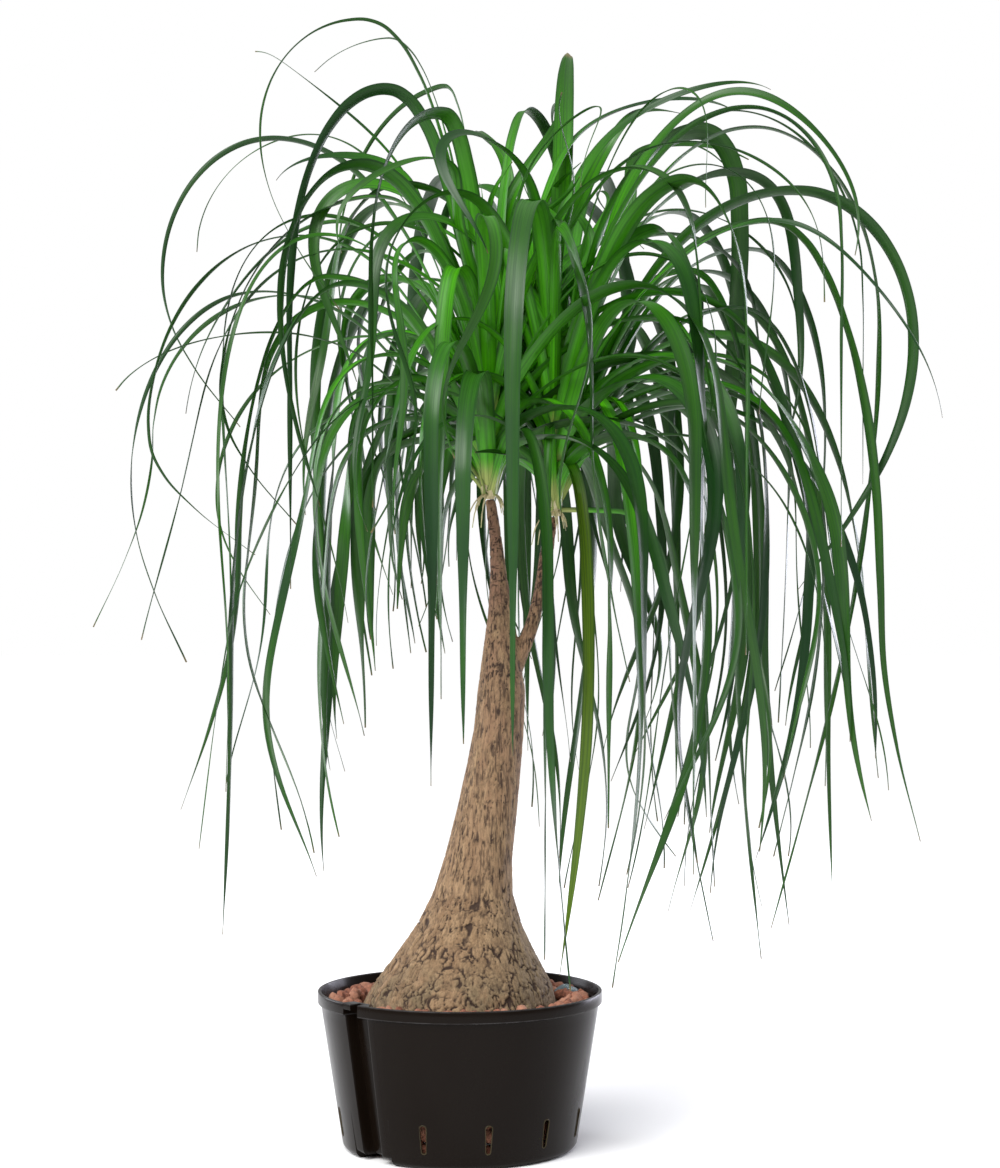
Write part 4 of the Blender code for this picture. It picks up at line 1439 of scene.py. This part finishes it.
@dataclass
class Crown:
    """One crown: where it sits, and how its leaves arch out of it."""

    head: Colour
    leaves: int
    seed: int
    lost: int = 0                  # one leaf in this many is gone, none when 0
    heart_height: float = 0.074
    golden_angle: float = 137.508
    stations: int = 78
    droop: float = 60.0            # how quickly a leaf bends over, 1/m2
    sheath_rise: float = math.radians(79.0)                # leaves start almost upright
    sheath_hold: float = 0.034                             # and open away after this length, metres
    quiet_front: tuple[float, float] = (-124.0, -60.0)     # directions that stay open before the trunk

    def grown(self, limits: tuple[np.ndarray, np.ndarray]) -> list[Spine]:
        """The crown's further leaves in golden-angle order, the oldest lowest.

        Args:
            limits: The corners of the box that the leaves stay in.

        Returns:
            One spine for each leaf.
        """
        random = np.random.default_rng(self.seed)
        spines = [self.leaf(rank / (self.leaves - 1), rank, random, limits) for rank in range(self.leaves)]
        return [spine for rank, spine in enumerate(spines, 1) if not self.lost or rank % self.lost]

    def leaf(self, age: float, rank: int, random: np.random.Generator,
             limits: tuple[np.ndarray, np.ndarray]) -> Spine:
        """One leaf's spine from its age.

        Args:
            age: 0 youngest to 1 oldest.
            rank: The leaf's place in the spiral.
            random: The source of chance.
            limits: The corners of the box that the leaf stays in.

        Returns:
            The spine.
        """
        turn = (rank * self.golden_angle + random.uniform(-9.0, 9.0) + 180.0) % 360.0 - 180.0
        if age > 0.22 and self.quiet_front[0] < turn < self.quiet_front[1]:
            turn = -turn
        azimuth = math.radians(turn)
        leftward = max(-math.cos(azimuth), 0.0)
        rise = math.radians(88.0 - 63.0 * age**0.85 + random.uniform(-8.0, 8.0))
        slim = random.random() < 0.24 + 0.03 * leftward
        width = random.uniform(0.0028, 0.0065) if slim else random.uniform(0.0098, 0.0158)
        length = np.interp(age, (0.0, 0.12, 0.5, 1.0), (0.17, 0.40, 0.72, 0.50)) * random.uniform(0.8, 1.18)
        droop = self.droop * np.interp(age, (0.0, 0.3, 1.0), (0.8, 0.9, 1.5)) * random.uniform(0.6, 1.45)
        if not slim:
            droop *= 1.0 + 1.5 * leftward
        sway = random.uniform(-1.0, 1.0, 6)
        lean, lift = random.normal(0.0, 0.09), random.exponential(0.055)
        rolls = random.uniform(-45.0, 45.0), random.uniform(-130.0, 130.0)
        if age < 0.16:
            facing = math.degrees(math.asin(math.cos(azimuth)))
            rolls = facing * 0.8, random.uniform(-20.0, 20.0)
        tone = random.random()
        low, high = limits
        for shrink in (1.0, 0.94, 0.88, 0.82, 0.76, 0.7, 0.62, 0.54):
            path = self.path(azimuth, rise, length, droop / shrink**2, sway, lean, age, lift)
            inside = np.all(path[:, :2] > low[:2] + 0.004) and np.all(path[:, :2] < high[:2] - 0.004)
            if inside and path[:, 2].max() < high[2]:
                break
        level = np.array((-math.sin(azimuth), math.cos(azimuth), 0.0))
        return Spine(resampled(path, self.stations), level, width, 1.0 - age, tone, *rolls)

    @staticmethod
    def hem(across: np.ndarray) -> np.ndarray:
        """How low the leaf tips hang: high before the trunk and at the far left.

        Args:
            across: Places along +X, metres.

        Returns:
            Heights over the pot's underside, metres.
        """
        places = (-0.30, -0.22, -0.17, -0.12, -0.09, -0.06, 0.02, 0.05, 0.08, 0.20, 0.27, 0.33)
        levels = (0.40, 0.32, 0.23, 0.19, 0.22, 0.36, 0.38, 0.26, 0.15, 0.16, 0.20, 0.27)
        return np.interp(across, places, levels)

    def path(self, azimuth: float, rise: float, length: float, droop: float, sway: np.ndarray, lean: float,
             age: float, lift: float) -> np.ndarray:
        """Bend a leaf over under its own weight, station by station.

        Args:
            azimuth: Plan direction, radians.
            rise: Angle at which it leaves the crown, radians.
            length: Along the leaf, metres.
            droop: How quickly it bends over.
            sway: Six random shares that move the hanging part.
            lean: Slope of the hanging part, outwards.
            age: 0 youngest, 1 oldest.
            lift: How far above the hem the leaf ends, metres.

        Returns:
            Positions along the leaf, ended at the hem.
        """
        count = 60
        step = length / count
        outward = np.array((math.cos(azimuth), math.sin(azimuth), 0.0))
        level = np.array((-math.sin(azimuth), math.cos(azimuth), 0.0))
        base = self.heart_height * (1.0 - age) - 0.009
        place = np.array(self.head) + outward * 0.006 + np.array((0.0, 0.0, base))
        angle, points = rise, [place]
        for index in range(count):
            along = (index + 0.5) * step
            angle -= droop * along * max(math.cos(angle), 0.02) * step
            steep = angle + (self.sheath_rise - angle) * math.exp(-((along / self.sheath_hold) ** 2))
            place = place + (outward * math.cos(steep) + np.array((0.0, 0.0, math.sin(steep)))) * step
            points.append(place)
        curve = np.array(points)
        share = np.linspace(0.0, 1.0, count + 1)
        hang = smooth_step((share - 0.3) / 0.6)
        drop = np.maximum(curve[:, 2].max() - curve[:, 2], 0.0) * smooth_step((share - 0.25) / 0.3)
        wave = np.sin(share * (9.0 + 3.5 * sway[0]) + 3.0 * sway[1])
        twist = np.sin(share * (8.0 + 3.0 * sway[2]) + 3.0 * sway[3])
        curve += outward * (hang * 0.012 * wave + drop * lean)[:, None]
        curve += level * (hang * 0.024 * twist + share**2 * 0.07 * sway[4])[:, None]
        curve = self.clear_of_trunk(curve)
        kept = np.flatnonzero(curve[:, 2] < self.hem(curve[:, 0]) + lift)
        return curve[: max(kept[0], 12)] if len(kept) else curve

    @staticmethod
    def clear_of_trunk(curve: np.ndarray) -> np.ndarray:
        """Push a curve out of the trunk.

        Args:
            curve: Positions along a leaf, metres.

        Returns:
            The same positions, moved where they lay in the trunk.
        """
        heights = curve[:, 2]
        axis = np.interp(heights, (0.12, 0.22, 0.35, 0.50), (0.002, 0.0145, 0.0318, 0.0236))
        girth = np.interp(heights, (0.12, 0.144, 0.17, 0.2, 0.26, 0.35, 0.42, 0.5),
                          (0.077, 0.062, 0.047, 0.037, 0.03, 0.026, 0.016, 0.0))
        away = curve[:, :2] - np.stack([axis, np.zeros_like(axis)], axis=1)
        distance = np.linalg.norm(away, axis=1)
        short = np.maximum(girth - distance, 0.0)
        curve[:, :2] += unit(away) * short[:, None]
        return curve


CROWNS = {
    Head.LEFT: Crown((0.023, 0.0, 0.511), 88, 21),
    Head.RIGHT: Crown((0.0735, 0.008, 0.498), 92, 34, 5),
}


@dataclass(frozen=True)
class Habit:
    """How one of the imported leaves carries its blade."""

    width: float = 1.0             # share of the node's own width, before far_left_share
    roll_top: float = 0.0          # degrees of roll by the top of the arc
    roll_tip: float = 0.0          # degrees more on the way to the tip
    blunt: bool = False            # the end is worn off square
    olive: bool = False            # yellower than the others


@dataclass
class Foliage:
    """All leaves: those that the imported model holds, and the rest of both crowns."""

    stations: int = 116
    sectors: int = 4
    finish: Finish = field(default_factory=lambda: LeafBlade("leaf_green", 0.36))
    habits: dict[str, Habit] = field(default_factory=lambda: {
        "left_leaf_01": Habit(0.45, 30.0, 40.0), "left_leaf_02": Habit(0.6, 60.0, 10.0),
        "left_leaf_03": Habit(0.35, 40.0, 20.0), "left_leaf_05": Habit(0.55, 50.0, 20.0),
        "left_leaf_06": Habit(0.8, 45.0, 20.0), "left_leaf_07": Habit(0.8, 40.0, 60.0),
        "left_leaf_08": Habit(0.5, 20.0, 60.0), "left_leaf_09": Habit(0.85, 30.0, 40.0),
        "left_leaf_11": Habit(0.9, 20.0, 170.0), "left_leaf_12": Habit(0.9, 10.0, 200.0),
        "left_leaf_15": Habit(1.0, 30.0, 60.0), "left_leaf_16": Habit(1.0, 20.0, 60.0),
        "left_leaf_18": Habit(1.0, 0.0, 35.0), "left_leaf_20": Habit(1.0, 0.0, -60.0),
        "left_leaf_22": Habit(0.9, 0.0, 110.0), "left_leaf_27": Habit(1.0, -20.0, 30.0),
        "right_leaf_01": Habit(1.0, 0.0, 30.0), "right_leaf_06": Habit(0.95, -55.0, -20.0),
        "right_leaf_07": Habit(0.45, -20.0, -60.0), "right_leaf_09": Habit(0.6, -40.0, -60.0),
        "right_leaf_10": Habit(1.0, -30.0, -45.0), "right_leaf_11": Habit(1.0, -15.0, -30.0),
        "right_leaf_14": Habit(1.0, -30.0, -40.0), "right_leaf_15": Habit(1.5, 78.0, 0.0, True),
        "right_leaf_02": Habit(1.2, 0.0, 50.0, olive=True), "right_leaf_03": Habit(1.0, 0.0, -40.0),
        "right_leaf_20": Habit(0.9, 0.0, 90.0), "right_leaf_23": Habit(0.75, -25.0, -80.0),
    })

    def build(self) -> None:
        """Sweep every leaf and dress it."""
        blades = BladeTree()
        leaf = self.finish.make()
        random = np.random.default_rng(7)
        for node in sorted(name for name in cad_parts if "_leaf_" in name):
            usual = Habit(1.0, random.uniform(-14.0, 14.0), random.uniform(-70.0, 70.0))
            spine = NodeLeaf(node).spine(self.habits.get(node, usual), self.stations)
            place_piece(blades.sweep(f"{node}_blade", [spine], leaf), Slot.LEAF, [node])
        limits = box_limits()
        for head, crown in CROWNS.items():
            grown = crown.grown(limits)
            for sector in range(self.sectors):
                members = grown[sector::self.sectors]
                piece = blades.sweep(f"{head.value}_crown_leaves_{sector + 1}", members, leaf)
                place_piece(piece, Slot.LEAF)


# ---- hearts ----------------------------------------------------------------------------------
@dataclass
class CrownHearts:
    """The pale wrapped leaf bases at the end of each arm, with dry shreds under them."""

    finish: Finish = field(default_factory=lambda: DrySheath("leaf_base", 0.6))

    def sheath(self, head: np.ndarray, azimuth: float, low: float, tall: float, width: float) -> Spine:
        """One wrapped leaf base that hugs the heart and opens at its top.

        Args:
            head: The crown's point.
            azimuth: Plan direction, radians.
            low: Height of its foot over that point, metres.
            tall: Its own height, metres.
            width: Its full width, metres.

        Returns:
            Its middle line.
        """
        share = np.linspace(0.0, 1.0, 18)
        radius = np.interp(share, (0.0, 0.25, 0.7, 1.0), (0.0046, 0.0068, 0.0078, 0.0125))
        outward = np.array((math.cos(azimuth), math.sin(azimuth), 0.0))
        points = head + outward * radius[:, None] + np.array((0.0, 0.0, 1.0)) * (low + tall * share)[:, None]
        level = np.array((-math.sin(azimuth), math.cos(azimuth), 0.0))
        return Spine(points, level, width, 1.0, (azimuth * 0.37) % 1.0)

    def shred(self, head: np.ndarray, azimuth: float, length: float, sag: float) -> Spine:
        """One dry shred that hangs from under the crown.

        Args:
            head: The crown's point.
            azimuth: Plan direction, radians.
            length: How far it reaches, metres.
            sag: How far it hangs, as a share of its length.

        Returns:
            Its middle line.
        """
        share = np.linspace(0.0, 1.0, 14)
        outward = np.array((math.cos(azimuth), math.sin(azimuth), 0.0))
        out = 0.004 + length * (0.55 * share + 0.1 * np.sin(3.0 * share))
        down = -0.007 - length * sag * share**1.4
        points = head + outward * out[:, None] + np.array((0.0, 0.0, 1.0)) * down[:, None]
        level = np.array((-math.sin(azimuth), math.cos(azimuth), 0.0))
        return Spine(points, level, 0.0022, 0.0, (azimuth * 0.61) % 1.0, 40.0, 120.0)

    def build(self) -> None:
        """Dress both hearts."""
        blades = BladeTree()
        pale = self.finish.make()
        random = np.random.default_rng(3)
        for head, crown in CROWNS.items():
            point = np.array(crown.head)
            wraps = []
            for index in range(13):
                azimuth = math.radians(index * crown.golden_angle + 200.0)
                low = -0.0095 + 0.0045 * index
                wraps.append(self.sheath(point, azimuth, low, 0.030 + 0.0022 * index, 0.0135))
            name = f"{head.value}_heart_sheaths"
            piece = blades.sweep(name, wraps, pale, thickness=0.0009, ripple=0.0002, base_share=1.0)
            core = merged_copy(f"{head.value}_crown_heart", "core")
            core.data.materials.append(pale)
            join_into(piece, core)
            finish_mesh(piece, 55.0)
            place_piece(piece, Slot.LEAF_BASE, [f"{head.value}_crown_heart"])
            shreds = []
            for _ in range(9):
                azimuth = math.radians(random.uniform(0.0, 360.0))
                length, sag = random.uniform(0.008, 0.024), random.uniform(0.5, 1.4)
                shreds.append(self.shred(point, azimuth, length, sag))
            shreds += [self.shred(point, math.radians(angle), 0.026, 1.0) for angle in (195.0, 225.0, 250.0)]
            name = f"{head.value}_dry_shreds"
            dry = blades.sweep(name, shreds, pale, thickness=0.0004, ripple=0.0003, base_share=1.0)
            place_piece(dry, Slot.LEAF_BASE)


def main() -> None:
    """Build the studio and every piece of the plant."""
    logging.basicConfig(level=logging.INFO, format="%(name)s: %(message)s")
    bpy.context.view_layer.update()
    for part in (Studio(), CulturePot(), GranuleBed(), Trunk(), CrownHearts(), Foliage()):
        part.build()
    bpy.context.view_layer.update()


if __name__ == "__main__":
    main()
